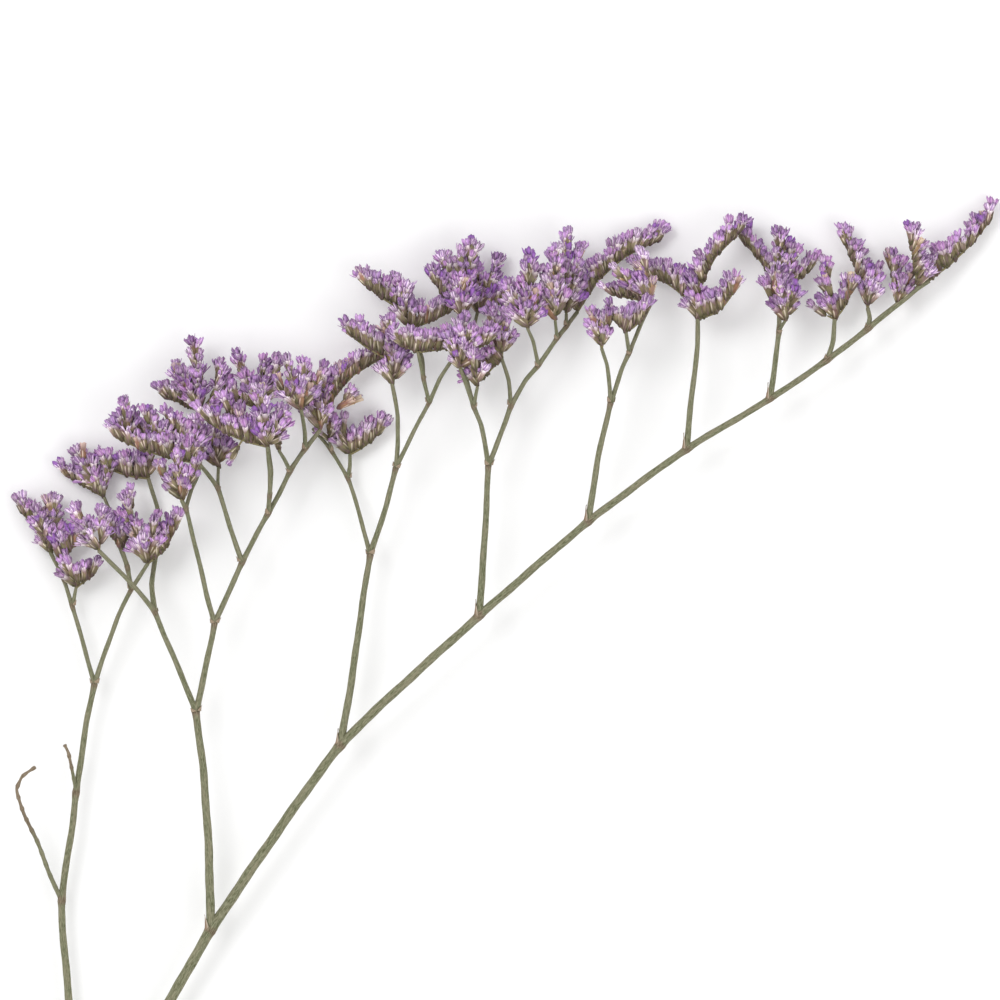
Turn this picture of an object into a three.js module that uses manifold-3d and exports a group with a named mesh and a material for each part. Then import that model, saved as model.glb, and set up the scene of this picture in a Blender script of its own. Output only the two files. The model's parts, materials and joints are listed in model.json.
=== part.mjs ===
// A cut, branched spray of sea-lavender statice, lying down.
// Millimetres. The spray is laid out from the centre of its cut end: X to the right, Y towards the
// flowers, Z up from the surface that it lies on. At the end the whole group is moved so that the
// bottom centre of its box is the origin.

import * as THREE from 'three';
import { mergeVertices } from 'three/addons/utils/BufferGeometryUtils.js';
import Module from 'manifold-3d';

// Overall sizes. The courses below are drawn for a spray of the drawn width, length and height,
// and are stretched to these.
const SPRAY_WIDTH = 267;
const SPRAY_LENGTH = 300;
const SPRAY_HEIGHT = 32;
const DRAWN_WIDTH = 267;
const DRAWN_LENGTH = 300;
const DRAWN_HEIGHT = 24;

// Sizes that can be set by themselves.
const STEM_THICKNESS = 1.0; // factor on every stem's own diameters
const SPIKE_HALF_WIDTH = 3.7; // flowers of one spike, across the spike, in the plane of the spray
const SPIKE_HALF_DEPTH = 3.7; // the same, up and down
const SPIKE_FOOT = 0.9; // radius of a spike where it leaves its stem
const FLOWER_LEAN = 2.4; // how far one-sided flowers sit out from the middle of their spike
const FLOWER_REACH = 4.5; // how far the last flowers reach past the end of a spike's axis
const LEAF_LENGTH = 6.0;
const LEAF_THICKNESS = 0.5;
const LEAF_WRAP = 2.6; // radians that a scale leaf clasps at its foot
const LEAF_FLARE = 0.7; // how far its tip stands off the branch
const CLEARANCE = 0.3; // gap between pieces that touch

const MAIN_SIDES = 8;
const TWIG_SIDES = 5;
const SPIKE_SIDES = 6;
const RINGS_PER_COURSE_POINT = 1.2;
const LEAF_FACETS = [5, 3];

// A stem: the node it belongs to, the stem that it forks from and which point of it, its diameters
// at its foot and its tip, and the points [x, y, z] of its course after the fork.
const stem = (node, parent, fork, thick, thin, course) => ({
  node, parent, fork, thick, thin, course,
});

const STEMS = {
  main: stem('main_stem', null, 0, 3.5, 1.5, [
    [0, 0, 2], [18.5, 46.5, 4], [43.5, 86, 6], [55, 106, 7], [90, 156, 9], [127.5, 191, 10],
    [157, 216.5, 10.5], [183.5, 236, 10.5], [206, 249.5, 10], [221.5, 260, 9], [232.5, 268.5, 8],
    [240.5, 275, 7], [246, 279.5, 6.5], [249, 281.5, 6],
  ]),

  first: stem('side_branch_1', 'main', 1, 2.5, 1.6, [
    [17.5, 68.5, 4.5], [16.5, 87, 5], [15, 103.5, 5], [14.5, 114, 5], [17.5, 134.5, 5.5],
    [18.5, 143, 5.5], [21.5, 163, 6], [23.5, 172.5, 6],
  ]),
  first_dead_shoot: stem('side_branch_1', 'first', 4, 1.3, 0.7, [
    [11, 122, 6], [8, 130, 7], [4.5, 137.5, 8], [2.5, 144, 8.5], [4, 147.5, 8.5], [7.5, 150, 8],
  ]),
  first_dead_bud: stem('side_branch_1', 'first', 6, 1.1, 0.8, [
    [17.5, 149, 7], [16.5, 154, 8], [15.5, 156, 8],
  ]),
  first_left: stem('side_branch_1', 'first', 8, 1.4, 1.1, [
    [20.5, 183, 5.5], [17.5, 193.5, 5], [15, 201, 4.5], [11.5, 208, 4],
  ]),
  first_left_twig: stem('side_branch_1', 'first_left', 2, 1.1, 0.9, [[18.5, 198.5, 5.5]]),
  first_left_side: stem('side_branch_1', 'first_left', 3, 1.0, 0.8, [[14.5, 205, 5]]),
  first_right: stem('side_branch_1', 'first', 8, 1.5, 1.2, [
    [26.5, 181.5, 6.5], [30, 191, 7], [33.5, 198, 7.5], [36, 202, 9], [38, 205, 10],
  ]),
  first_right_twig: stem('side_branch_1', 'first_right', 3, 1.3, 1.1, [[32.5, 204, 8], [31, 209, 9]]),
  first_top: stem('side_branch_1', 'first_right_twig', 1, 1.1, 1.0, [
    [30, 210, 5], [28.5, 217, 3.5], [26, 223, 4],
  ]),

  second: stem('side_branch_2', 'main', 3, 2.6, 2.0, [
    [54.5, 127.5, 8], [53, 149.5, 9], [51, 165, 9.5],
  ]),
  second_left: stem('side_branch_2', 'second', 3, 1.7, 1.2, [
    [46.5, 176.5, 11], [42.5, 185.5, 12], [40, 192, 13], [36, 197, 14], [31, 202.5, 15],
    [25, 208.5, 16.5],
  ]),
  second_twig: stem('side_branch_2', 'second_left', 3, 1.5, 1.1, [
    [39, 199.5, 9], [39.5, 204, 5], [41, 213, 3], [40.5, 219.5, 3], [38, 228, 4],
  ]),
  second_right: stem('side_branch_2', 'second', 3, 1.9, 1.6, [
    [53.5, 176.5, 10], [55.5, 186, 10.5], [56, 189, 10.5],
  ]),
  second_core: stem('side_branch_2', 'second_right', 3, 1.5, 1.2, [
    [54, 196.5, 12], [51.5, 207.5, 15], [48.5, 220, 20.5], [47.5, 222, 21.5],
  ]),
  second_crown: stem('side_branch_2', 'second_core', 3, 1.2, 1.0, [
    [50, 225, 15], [51.5, 229, 10.5], [52.5, 235.5, 8], [52, 246, 8],
  ]),
  second_out: stem('side_branch_2', 'second_right', 3, 1.6, 1.2, [
    [60.5, 198.5, 11], [63.5, 205.5, 11.5], [68, 214, 11.5], [70.5, 218.5, 11.5], [73.5, 224, 11.5],
    [76.5, 230, 11.5], [80.5, 236, 11], [84.5, 241, 10.5],
  ]),
  second_mid: stem('side_branch_2', 'second_out', 2, 1.6, 1.2, [
    [60, 215.5, 12.5], [57, 225.5, 13.5], [52, 232, 15],
  ]),
  second_inner: stem('side_branch_2', 'second_mid', 2, 1.1, 0.9, [
    [57, 228, 10.5], [57, 231, 7.5],
  ]),
  second_shelf: stem('side_branch_2', 'second_out', 4, 1.3, 1.1, [
    [71, 223.5, 14], [71, 230.5, 18], [70.5, 236.5, 21],
  ]),
  second_upper: stem('side_branch_2', 'second_shelf', 1, 1.1, 1.0, [
    [71.5, 230, 11], [70.5, 236.5, 8.5], [67.5, 247, 8],
  ]),
  second_shelf_right: stem('side_branch_2', 'second_out', 6, 1.2, 1.0, [
    [75, 233, 13], [73.5, 235.5, 14.5],
  ]),
  second_right_twig: stem('side_branch_2', 'second_out', 7, 1.2, 1.0, [
    [80.5, 240.5, 12.5], [79.5, 246.5, 14.5],
  ]),

  third: stem('side_branch_3', 'main', 4, 2.2, 1.7, [
    [93, 173.5, 8.5], [96, 195, 8], [98, 207.5, 7.5],
  ]),
  third_left: stem('side_branch_3', 'third', 3, 1.4, 1.0, [
    [95.5, 217, 6], [92, 228, 4.5], [87.5, 235.5, 3.5], [82.5, 241.5, 3],
  ]),
  third_left_twig: stem('side_branch_3', 'third_left', 2, 1.2, 1.0, [
    [92.5, 231.5, 4], [92.5, 234.5, 4],
  ]),
  third_left_bud: stem('side_branch_3', 'third_left', 3, 1.0, 0.8, [[87, 238, 4.5]]),
  third_right: stem('side_branch_3', 'third', 3, 1.6, 1.4, [
    [102.5, 221, 9], [105, 231, 10],
  ]),
  third_mid: stem('side_branch_3', 'third_right', 2, 1.4, 1.2, [
    [105.5, 237.5, 10.5], [105.5, 245, 11], [104, 253.5, 12],
  ]),
  third_out: stem('side_branch_3', 'third_right', 2, 1.4, 1.2, [
    [109.5, 240, 12], [114, 248.5, 14.5],
  ]),
  third_shelf: stem('side_branch_3', 'third_out', 2, 1.2, 1.0, [
    [112.5, 255, 15.5], [111, 262, 16],
  ]),
  third_shelf_right: stem('side_branch_3', 'third_out', 2, 1.2, 1.0, [
    [117, 255, 15], [120.5, 260.5, 15.5],
  ]),
  third_top: stem('side_branch_3', 'third_shelf', 1, 1.1, 1.0, [
    [112, 261, 11], [108.5, 268.5, 8.5],
  ]),

  fourth: stem('side_branch_4', 'main', 5, 2.1, 1.6, [[129, 211.5, 10.5], [130, 231.5, 11]]),
  fourth_left: stem('side_branch_4', 'fourth', 2, 1.4, 1.1, [
    [128, 242.5, 13], [126, 247.5, 16], [122.5, 257.5, 21],
  ]),
  fourth_left_twig: stem('side_branch_4', 'fourth_left', 2, 1.1, 0.9, [[127, 252.5, 19]]),
  fourth_top: stem('side_branch_4', 'fourth_left', 2, 1.2, 1.0, [
    [124, 255.5, 11], [123.5, 264, 7], [123, 271.5, 8],
  ]),
  fourth_top_right: stem('side_branch_4', 'fourth_top', 2, 1.0, 0.9, [
    [126, 268.5, 5], [127, 273, 4],
  ]),
  fourth_right: stem('side_branch_4', 'fourth', 2, 1.5, 1.1, [
    [134.5, 243, 10.5], [136, 247.5, 10], [140, 254.5, 10], [143.5, 258.5, 10], [148.5, 266, 10],
    [151, 269, 9], [154, 273, 6],
  ]),
  fourth_mid: stem('side_branch_4', 'fourth_right', 2, 1.2, 1.0, [
    [135.5, 254.5, 10], [133.5, 260.5, 10],
  ]),
  fourth_spire: stem('side_branch_4', 'fourth_right', 4, 1.2, 1.0, [
    [142, 265, 13], [140.5, 268.5, 15],
  ]),
  fourth_tall_left: stem('side_branch_4', 'fourth_right', 5, 1.1, 0.9, [[148, 270.5, 13.5]]),
  fourth_tall: stem('side_branch_4', 'fourth_right', 6, 1.0, 0.9, [[151, 272.5, 8.5]]),

  fifth: stem('side_branch_5', 'main', 6, 1.9, 1.5, [[159.5, 233, 11], [163, 248.5, 12]]),
  fifth_left: stem('side_branch_5', 'fifth', 2, 1.3, 1.0, [
    [162, 258.5, 14], [160.5, 263, 16],
  ]),
  fifth_right: stem('side_branch_5', 'fifth', 2, 1.4, 1.1, [
    [166, 257.5, 12], [168, 262, 12], [171, 269.5, 12], [174, 275.5, 12],
  ]),
  fifth_low: stem('side_branch_5', 'fifth_right', 2, 1.1, 1.0, [
    [167.5, 264.5, 15], [167, 267.5, 17.5],
  ]),

  sixth: stem('side_branch_6', 'main', 7, 1.8, 1.3, [
    [185, 251.5, 10], [186.5, 264, 9.5], [186.5, 271, 9.5],
  ]),

  seventh: stem('side_branch_7', 'main', 8, 1.7, 1.3, [
    [207.5, 260, 9.5], [208.5, 268, 9], [208.5, 272, 9],
  ]),
  seventh_front: stem('side_branch_7', 'seventh', 2, 1.1, 0.9, [[210, 270.5, 13]]),

  eighth: stem('side_branch_8', 'main', 9, 1.5, 1.2, [[223, 265, 8.5], [223.5, 271, 8]]),

  ninth: stem('side_branch_9', 'main', 10, 1.4, 1.1, [[233, 271.5, 7], [232.5, 274, 6]]),
};

// A flower head sits on the end of its stem, or at a point of it. Each of its spikes runs from the
// seat by [dx, dy, dz], bows sideways by bow (left of its own direction is positive), and carries
// its flowers on one side (1 left, -1 right, 0 all round). A spike may instead start at a share of
// the head's first spike.
const spike = (dx, dy, dz, bow = 0, side = 0, share = 0) => ({ dx, dy, dz, bow, side, share });

const HEADS = [
  {
    seat: 'first_left',
    spikes: [spike(-7, 10, 0, -0.5, -0.7), spike(1, 10.5, 0.5), spike(-2.5, 6, 2)],
  },
  { seat: 'first_left_side', spikes: [spike(7, 7, 0, 1, 1)] },
  { seat: 'first_left_twig', spikes: [spike(-2, 5, 0), spike(4, 3, 0, 0, 0.8)] },
  { seat: 'first_right_twig', spikes: [spike(2.5, 11.5, 0, -1, 1), spike(-4.5, 5.5, 0, 0, -0.5)] },
  { seat: 'first_top', spikes: [spike(-9.5, 5.5, 0, 0, -1), spike(-5.5, 9, 0), spike(0.5, 4, 0)] },
  {
    seat: 'first_right',
    spikes: [spike(-2.5, 7.5, 0, 0, 0.3), spike(1.5, 8.5, 1), spike(7.5, 9.5, 0, -1, 1)],
  },
  { seat: 'second_left', spikes: [spike(-4.5, 8, 0, 0, 0.5), spike(1, 6.5, 0)] },
  { seat: 'second_twig', spikes: [spike(0.5, 5.5, 0), spike(-10.5, 2.5, 0, 0.5, -1)] },
  {
    seat: 'second_core',
    spikes: [spike(-5, 6, 0, 0, -0.6), spike(-1, 8.5, 1), spike(3, 7, 0, 0, 0.4)],
  },
  {
    seat: 'second_mid',
    spikes: [
      spike(-22.5, 7, 0, 1, -1), spike(-0.5, 8, 0), spike(-0.5, 6.5, 0, 0, 0, 0.85),
      spike(-15, 8.5, -2, 1, -1, 0.12), spike(-5.5, 8, 0, 0.5, -1, 0.35),
      spike(-4.5, 9, 0, 0, -0.5, 0.1),
    ],
  },
  {
    seat: 'second_crown',
    spikes: [spike(-8.5, 4, 0, 0, -1), spike(-5.5, 9.5, 0), spike(-1, 14, 0), spike(5, 9, 0, -1, -0.5)],
  },
  { seat: 'second_inner', spikes: [spike(-1.5, 7, -1), spike(1.5, 7.5, -1)] },
  {
    seat: 'second_shelf',
    spikes: [
      spike(-15.5, 6.5, 0, 1, -1), spike(-1.5, 12.5, 0), spike(-1.5, -3.5, 0, 0, -1, 0.45),
      spike(-8, 8, -2, 1, -1, 0.15), spike(3.5, 6, -1),
    ],
  },
  { seat: 'second_shelf_right', spikes: [spike(1, 7, 0, 0, 0.5)] },
  {
    seat: 'second_upper',
    spikes: [spike(-4, 9.5, 0, 0, 0.3), spike(1.5, 8.5, 0), spike(4.5, 9, 0), spike(-8, 3, 0, 0, -1)],
  },
  {
    seat: 'second_right_twig',
    spikes: [spike(-5, 4.5, 0, 0, -0.8), spike(-3, 9.5, 0), spike(1, 9, 0), spike(4, 6.5, -1)],
  },
  {
    seat: 'second_out',
    spikes: [
      spike(16.5, 19.5, -6, 3.2, 1), spike(-2, 8, -1), spike(1, 10, -1),
      spike(1.5, 1.5, 0, 0, -1, 0.3), spike(4.5, 12, -2, 1, 1, 0.1),
    ],
  },
  { seat: 'third_left_twig', spikes: [spike(-1.5, 5, 0, 0, 0.5), spike(7.5, 5.5, 0, -0.5, 1)] },
  { seat: 'third_left_bud', spikes: [spike(0, 2, 1)] },
  {
    seat: 'third_mid',
    spikes: [spike(-0.5, 14, 0), spike(-10.5, 6.5, -1, 0.5, -1, 0.45), spike(2, 5.5, 0)],
  },
  { seat: 'third_shelf', spikes: [spike(-4.5, 2, 0, 0, -1), spike(8, 1, 0, 0, 1)] },
  { seat: 'third_shelf_right', spikes: [spike(9, 4, 0, -0.5, 1), spike(2, 6.5, 0)] },
  {
    seat: 'third_top',
    spikes: [spike(-3, 11, 0, 0, -0.2), spike(-10.5, 7, 0, 0.5, -1, 0.45), spike(11.5, 5, -3, -0.5, 1)],
  },
  { seat: 'fourth_left', spikes: [spike(-2.5, 6, 0), spike(2, 7.5, 0)] },
  { seat: 'fourth_left_twig', spikes: [spike(-0.5, 4.5, 2)] },
  { seat: 'fourth_mid', spikes: [spike(-5.5, -6, 0, 0, -1), spike(1.5, 10.5, 0), spike(-2, 9.5, 1)] },
  {
    seat: 'fourth_top',
    spikes: [spike(-7.5, 9.5, 0, 0.5, -1), spike(-4.5, 13, 0), spike(-0.5, 12.5, 1), spike(2, 16.5, 0)],
  },
  { seat: 'fourth_top_right', spikes: [spike(0, 8, 0), spike(8, 3.5, 0, -0.5, 1), spike(4, 9.5, 0)] },
  { seat: 'fourth_spire', spikes: [spike(0.5, 15, 0), spike(-4, 8, 0, 0, 0.3), spike(2, 6, 0)] },
  { seat: 'fourth_tall_left', spikes: [spike(-1.5, 8.5, 0, 0, 0.3), spike(0, 15.5, 0)] },
  { seat: 'fourth_tall', spikes: [spike(0.5, 17, 0), spike(3, 14, 0, 0, -0.3)] },
  { seat: 'fourth_right', spikes: [spike(22, 19.5, -2.5, 3, 1)] },
  { seat: 'fifth_left', spikes: [spike(-1.5, 5.5, 1), spike(1.5, 5.5, 1)] },
  { seat: 'fifth_low', spikes: [spike(5, 4.5, 0, -0.5, 1), spike(-2.5, 2.5, 0, 0, -1)] },
  {
    seat: 'fifth_right',
    spikes: [spike(-1.5, 8.5, 0, -0.5, 1), spike(-10, 2, 0, 0, -1), spike(-7.5, 6, 1.5)],
  },
  {
    seat: 'sixth',
    spikes: [
      spike(-15.5, 12, -5.5, -3, -1), spike(11, 23, 0, 3.4, 1), spike(9.5, 7, 4, -1.4, 1),
    ],
  },
  {
    seat: 'seventh',
    spikes: [
      spike(-9, 19.5, -5, -2.2, -1), spike(2, 14, 1, 0, 0, 0.2), spike(5, 11, 0, 0, 0, 0.2),
      spike(9.5, 8, -3, 0, 1, 0.2),
    ],
  },
  { seat: 'seventh_front', spikes: [spike(-1, 6.5, 2), spike(1.5, 5.5, 2)] },
  {
    seat: 'eighth',
    spikes: [spike(-2, 11.5, 0, 0, 0.4), spike(4.5, 7.5, 0, -0.5, 0.8), spike(-1.5, 3.5, 0, 0, 1)],
  },
  { seat: 'ninth', spikes: [spike(-6, 17.5, -1, -0.5, -1), spike(1.5, 6.5, 0)] },
  { seat: 'main', point: 11, spikes: [spike(-1.5, 9.5, -3, 0, -0.5), spike(3, 6.5, -2)] },
  { seat: 'main', point: 12, spikes: [spike(-2, 12.5, 5, 0, -1)] },
  { seat: 'main', spikes: [spike(16.5, 16, -2.5, -1, 1)] },
];

// The side branches that a scale leaf clasps, in order up the main stem.
const LEAFED_BRANCHES = ['first', 'second', 'third', 'fourth', 'fifth', 'sixth', 'seventh'];

const matt = (color) => new THREE.MeshStandardMaterial({ color, roughness: 0.9, metalness: 0 });
const STEM_MATERIAL = matt(0x7d7c5c);
const LEAF_MATERIAL = matt(0xa98f6f);
const FLOWER_MATERIAL = matt(0xa184b4);

const UP = new THREE.Vector3(0, 0, 1);

const wasm = await Module();
wasm.setup();

// Solids: three.js geometry in, manifold out, and back.

function toSolid(geometry) {
  const bare = geometry.clone();
  bare.deleteAttribute('normal');
  bare.deleteAttribute('uv');
  const merged = mergeVertices(bare, 1e-4);
  const triangles = [];
  for (let i = 0; i < merged.index.count; i += 3) {
    const [a, b, c] = [0, 1, 2].map((corner) => merged.index.getX(i + corner));
    if (a !== b && b !== c && c !== a) {
      triangles.push(a, b, c);
    }
  }
  return new wasm.Manifold(new wasm.Mesh({
    numProp: 3,
    vertProperties: new Float32Array(merged.attributes.position.array),
    triVerts: new Uint32Array(triangles),
  }));
}

function toMesh(name, solid, material) {
  const data = solid.getMesh();
  const geometry = new THREE.BufferGeometry();
  const places = new Float32Array(data.vertProperties);
  geometry.setAttribute('position', new THREE.BufferAttribute(places, 3));
  geometry.setIndex(new THREE.BufferAttribute(new Uint32Array(data.triVerts), 1));
  geometry.computeVertexNormals();
  const mesh = new THREE.Mesh(geometry, material);
  mesh.name = name;
  return mesh;
}

function boxesMeet(first, second) {
  const [a, b] = [first.boundingBox(), second.boundingBox()];
  return [0, 1, 2].every((axis) => a.min[axis] <= b.max[axis] && b.min[axis] <= a.max[axis]);
}

// What is left of a solid clear of the others: its largest body.
function trimmed(solid, others) {
  let rest = solid;
  for (const other of others) {
    if (boxesMeet(rest, other)) {
      rest = rest.subtract(other);
    }
  }
  const bodies = rest.decompose();
  return bodies.reduce((best, body) => (body.volume() > best.volume() ? body : best));
}

// The curve's place and its two cross directions: across in the plane of the spray, and up.
function frameAt(curve, share) {
  const place = curve.getPointAt(share);
  const along = curve.getTangentAt(share);
  const across = new THREE.Vector3().crossVectors(along, UP).normalize();
  const upward = new THREE.Vector3().crossVectors(across, along);
  return { place, along, across, upward };
}

// A round body turned from a profile of [share of the length, radius] pairs and bent along a curve.
// grow makes it fatter and longer all over, for the room that its neighbours leave it.
function bentSolid(curve, profile, sides, { deep = 1, grow = 0 } = {}) {
  const outline = profile.map(([share, radius]) => new THREE.Vector2(radius, share));
  const start = new THREE.Vector2(0, outline[0].y);
  const end = new THREE.Vector2(0, outline.at(-1).y);
  const geometry = new THREE.LatheGeometry([start, ...outline, end], sides);
  const spots = geometry.attributes.position;
  for (let i = 0; i < spots.count; i += 1) {
    const [x, share, z] = [spots.getX(i), spots.getY(i), spots.getZ(i)];
    const { place, along, across, upward } = frameAt(curve, THREE.MathUtils.clamp(share, 0, 1));
    const reach = Math.hypot(x, z);
    const [sideways, height] = reach > 1e-6 ? [x / reach, z / reach] : [0, 0];
    const overrun = (share > 0.999 ? grow : 0) - (share < 0.001 ? grow : 0);
    place.addScaledVector(across, x + sideways * grow);
    place.addScaledVector(upward, z * deep + height * grow);
    place.addScaledVector(along, overrun);
    spots.setXYZ(i, place.x, place.y, place.z);
  }
  return toSolid(geometry);
}

// Stems

const stretch = ([x, y, z]) => new THREE.Vector3(
  x * SPRAY_WIDTH / DRAWN_WIDTH,
  y * SPRAY_LENGTH / DRAWN_LENGTH,
  z * SPRAY_HEIGHT / DRAWN_HEIGHT,
);

function stemPoints(name) {
  const { parent, fork, course } = STEMS[name];
  const points = course.map(stretch);
  return parent ? [stemPoints(parent)[fork], ...points] : points;
}

function stemSolid(name, grow) {
  const { node, thick, thin } = STEMS[name];
  const points = stemPoints(name);
  const curve = new THREE.CatmullRomCurve3(points, false, 'centripetal');
  const rings = Math.max(2, Math.round(RINGS_PER_COURSE_POINT * (points.length - 1)));
  const profile = [];
  for (let ring = 0; ring <= rings; ring += 1) {
    const share = ring / rings;
    profile.push([share, 0.5 * STEM_THICKNESS * THREE.MathUtils.lerp(thick, thin, share)]);
  }
  return bentSolid(curve, profile, node === 'main_stem' ? MAIN_SIDES : TWIG_SIDES, { grow });
}

// Each stem node is one grown piece: the union of its forks.
function stemNodes(grow) {
  const nodes = new Map();
  for (const name of Object.keys(STEMS)) {
    const { node } = STEMS[name];
    const solid = stemSolid(name, grow);
    nodes.set(node, nodes.has(node) ? nodes.get(node).add(solid) : solid);
  }
  return nodes;
}

// Scale leaves: a thin pointed plate that clasps the outer side of a branch at its foot.

function leafSolid(name) {
  const { parent, fork, thick } = STEMS[name];
  const curve = new THREE.CatmullRomCurve3(stemPoints(name), false, 'centripetal');
  const onward = stemPoints(parent)[fork + 1];
  const mainAlong = onward.clone().sub(curve.getPointAt(0)).normalize();
  const { along } = frameAt(curve, 0);
  const outer = along.clone().multiplyScalar(mainAlong.dot(along)).sub(mainAlong).normalize();
  const over = new THREE.Vector3().crossVectors(along, outer);
  const radius = 0.5 * STEM_THICKNESS * thick + CLEARANCE;
  const share = LEAF_LENGTH / curve.getLength();
  const geometry = new THREE.BoxGeometry(1, 1, 1, ...LEAF_FACETS, 1);
  const spots = geometry.attributes.position;
  for (let i = 0; i < spots.count; i += 1) {
    const rise = spots.getY(i) + 0.5;
    const angle = spots.getX(i) * LEAF_WRAP * (1 - 0.85 * rise ** 2);
    const reach = radius + LEAF_FLARE * rise ** 2 + (spots.getZ(i) + 0.5) * LEAF_THICKNESS;
    const place = curve.getPointAt(rise * share);
    place.addScaledVector(outer, reach * Math.cos(angle));
    place.addScaledVector(over, reach * Math.sin(angle));
    spots.setXYZ(i, place.x, place.y, place.z);
  }
  return toSolid(geometry);
}

// Flower heads: the room that the flowers of each spike take, joined at the seat.

// Its radius from foot to tip, as [share of the length, share of the way from foot to full width].
const SPIKE_OUTLINE = [[0, 0], [0.35, 1], [0.78, 0.95], [1, 0.3]];

function spikeSolid(start, { dx, dy, dz, bow, side }, grow) {
  const reach = stretch([dx, dy, dz]);
  const along = reach.clone().normalize();
  const left = new THREE.Vector3().crossVectors(UP, along).normalize();
  const points = [0, 1 / 3, 2 / 3, 1].map((share) => {
    const lean = FLOWER_LEAN * side * Math.min(1, 2.4 * share);
    return start.clone()
      .addScaledVector(reach, share)
      .addScaledVector(along, CLEARANCE + FLOWER_REACH * share)
      .addScaledVector(left, 4 * bow * share * (1 - share) + lean);
  });
  const curve = new THREE.CatmullRomCurve3(points, false, 'centripetal');
  const profile = SPIKE_OUTLINE.map(([share, part]) => [
    share, THREE.MathUtils.lerp(SPIKE_FOOT, SPIKE_HALF_WIDTH, part),
  ]);
  return bentSolid(curve, profile, SPIKE_SIDES, { deep: SPIKE_HALF_DEPTH / SPIKE_HALF_WIDTH, grow });
}

function headSolid({ seat, point, spikes }, grow) {
  const base = stemPoints(seat).at(point ?? -1);
  const first = stretch([spikes[0].dx, spikes[0].dy, spikes[0].dz]);
  let solid = null;
  for (const row of spikes) {
    const start = base.clone().addScaledVector(first, row.share);
    const next = spikeSolid(start, row, grow);
    solid = solid ? solid.add(next) : next;
  }
  return solid;
}

// The spray: the main stem first, then what is trimmed clear of the pieces before it. Of the
// heads the smallest come first, so that it is the large ones that give way and keep their seats.

const group = new THREE.Group();
const stems = stemNodes(0);
const roomForStems = stemNodes(CLEARANCE);
const rooms = [];

for (const [name, solid] of stems) {
  group.add(toMesh(name, trimmed(solid, rooms), STEM_MATERIAL));
  rooms.push(roomForStems.get(name));
}

LEAFED_BRANCHES.forEach((branch, index) => {
  const leaf = trimmed(leafSolid(branch), rooms);
  group.add(toMesh(`scale_leaf_${index + 1}`, leaf, LEAF_MATERIAL));
});

const heads = HEADS.map((head, index) => {
  const name = `flower_head_${String(index + 1).padStart(2, '0')}`;
  return { name, solid: headSolid(head, 0), room: headSolid(head, CLEARANCE) };
});
for (const { name, solid, room } of heads.toSorted((a, b) => a.solid.volume() - b.solid.volume())) {
  group.add(toMesh(name, trimmed(solid, rooms), FLOWER_MATERIAL));
  rooms.push(room);
}

const box = new THREE.Box3().setFromObject(group);
const middle = box.getCenter(new THREE.Vector3());
group.position.set(-middle.x, -middle.y, -box.min.z);

export default group;
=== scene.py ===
"""A dried, branched spray of sea-lavender statice that lies on a pale floor.

The spray is laid out in millimetres from the centre of its cut end, X to the right, Y towards the
flowers and Z up, in the same rows as the part's own source, and is then set in the frame.
"""

import json
import math

import bmesh
import bpy
import numpy as np
from bpy.props import FloatProperty, FloatVectorProperty, PointerProperty
from bpy.types import Operator, Panel, PropertyGroup
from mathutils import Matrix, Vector

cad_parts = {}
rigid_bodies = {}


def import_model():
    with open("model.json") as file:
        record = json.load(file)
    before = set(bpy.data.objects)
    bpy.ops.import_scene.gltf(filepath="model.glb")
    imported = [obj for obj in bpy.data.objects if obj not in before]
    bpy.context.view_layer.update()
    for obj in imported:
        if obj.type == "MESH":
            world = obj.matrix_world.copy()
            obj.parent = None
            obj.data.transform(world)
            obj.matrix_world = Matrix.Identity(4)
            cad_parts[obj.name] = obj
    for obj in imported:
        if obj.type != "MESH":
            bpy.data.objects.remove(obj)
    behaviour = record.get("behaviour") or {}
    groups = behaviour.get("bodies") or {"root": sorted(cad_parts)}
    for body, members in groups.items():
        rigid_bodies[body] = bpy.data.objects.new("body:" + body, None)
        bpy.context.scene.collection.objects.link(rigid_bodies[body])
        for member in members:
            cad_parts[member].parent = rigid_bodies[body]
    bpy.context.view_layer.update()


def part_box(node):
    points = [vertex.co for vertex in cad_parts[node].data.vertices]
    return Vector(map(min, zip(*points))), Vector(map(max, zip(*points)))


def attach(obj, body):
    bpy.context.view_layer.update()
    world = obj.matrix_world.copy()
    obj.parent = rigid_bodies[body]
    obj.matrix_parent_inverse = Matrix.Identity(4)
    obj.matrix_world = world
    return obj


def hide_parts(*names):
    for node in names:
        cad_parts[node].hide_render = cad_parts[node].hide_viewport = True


bl_info = {
    "name": "Statice Spray",
    "version": (1, 0, 0),
    "blender": (4, 5, 0),
    "location": "3D View > Sidebar > Statice",
    "description": "Makes a dried spray of sea-lavender statice around its packed frame",
    "category": "Object",
}

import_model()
MM = 0.001

# The courses are drawn for a spray of this height, and are stretched to the height it has.
DRAWN_HEIGHT, HEIGHT = 24, 32
STRETCH = np.array([1.0, 1.0, HEIGHT / DRAWN_HEIGHT])
UP = np.array([0.0, 0.0, 1.0])
SEED = 31
# What a seed is raised by, so that leaves, flowers and heads have draws of their own.
FLOWER_SEEDS, LEAF_SEEDS, HEAD_SEEDS = 100, 500, 1000

# The flowers' colour chart: a strip along U for each part of a flower, a row of V for each tone.
CHART = "OFBake"
AXIS_STRIP = (0.01, 0.06)
BRACT_STRIP = (0.10, 0.32)
CUP_STRIP = (0.36, 0.62)
PETAL_STRIP = (0.66, 0.98)
TONE_ROWS = 16
# The rows of each family of tones: fresh lilac, pale, deep purple, dry tan.
TONE_FAMILIES = [range(0, 6), range(6, 9), range(9, 12), range(12, 16)]
DRY_FAMILY = 3
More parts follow.
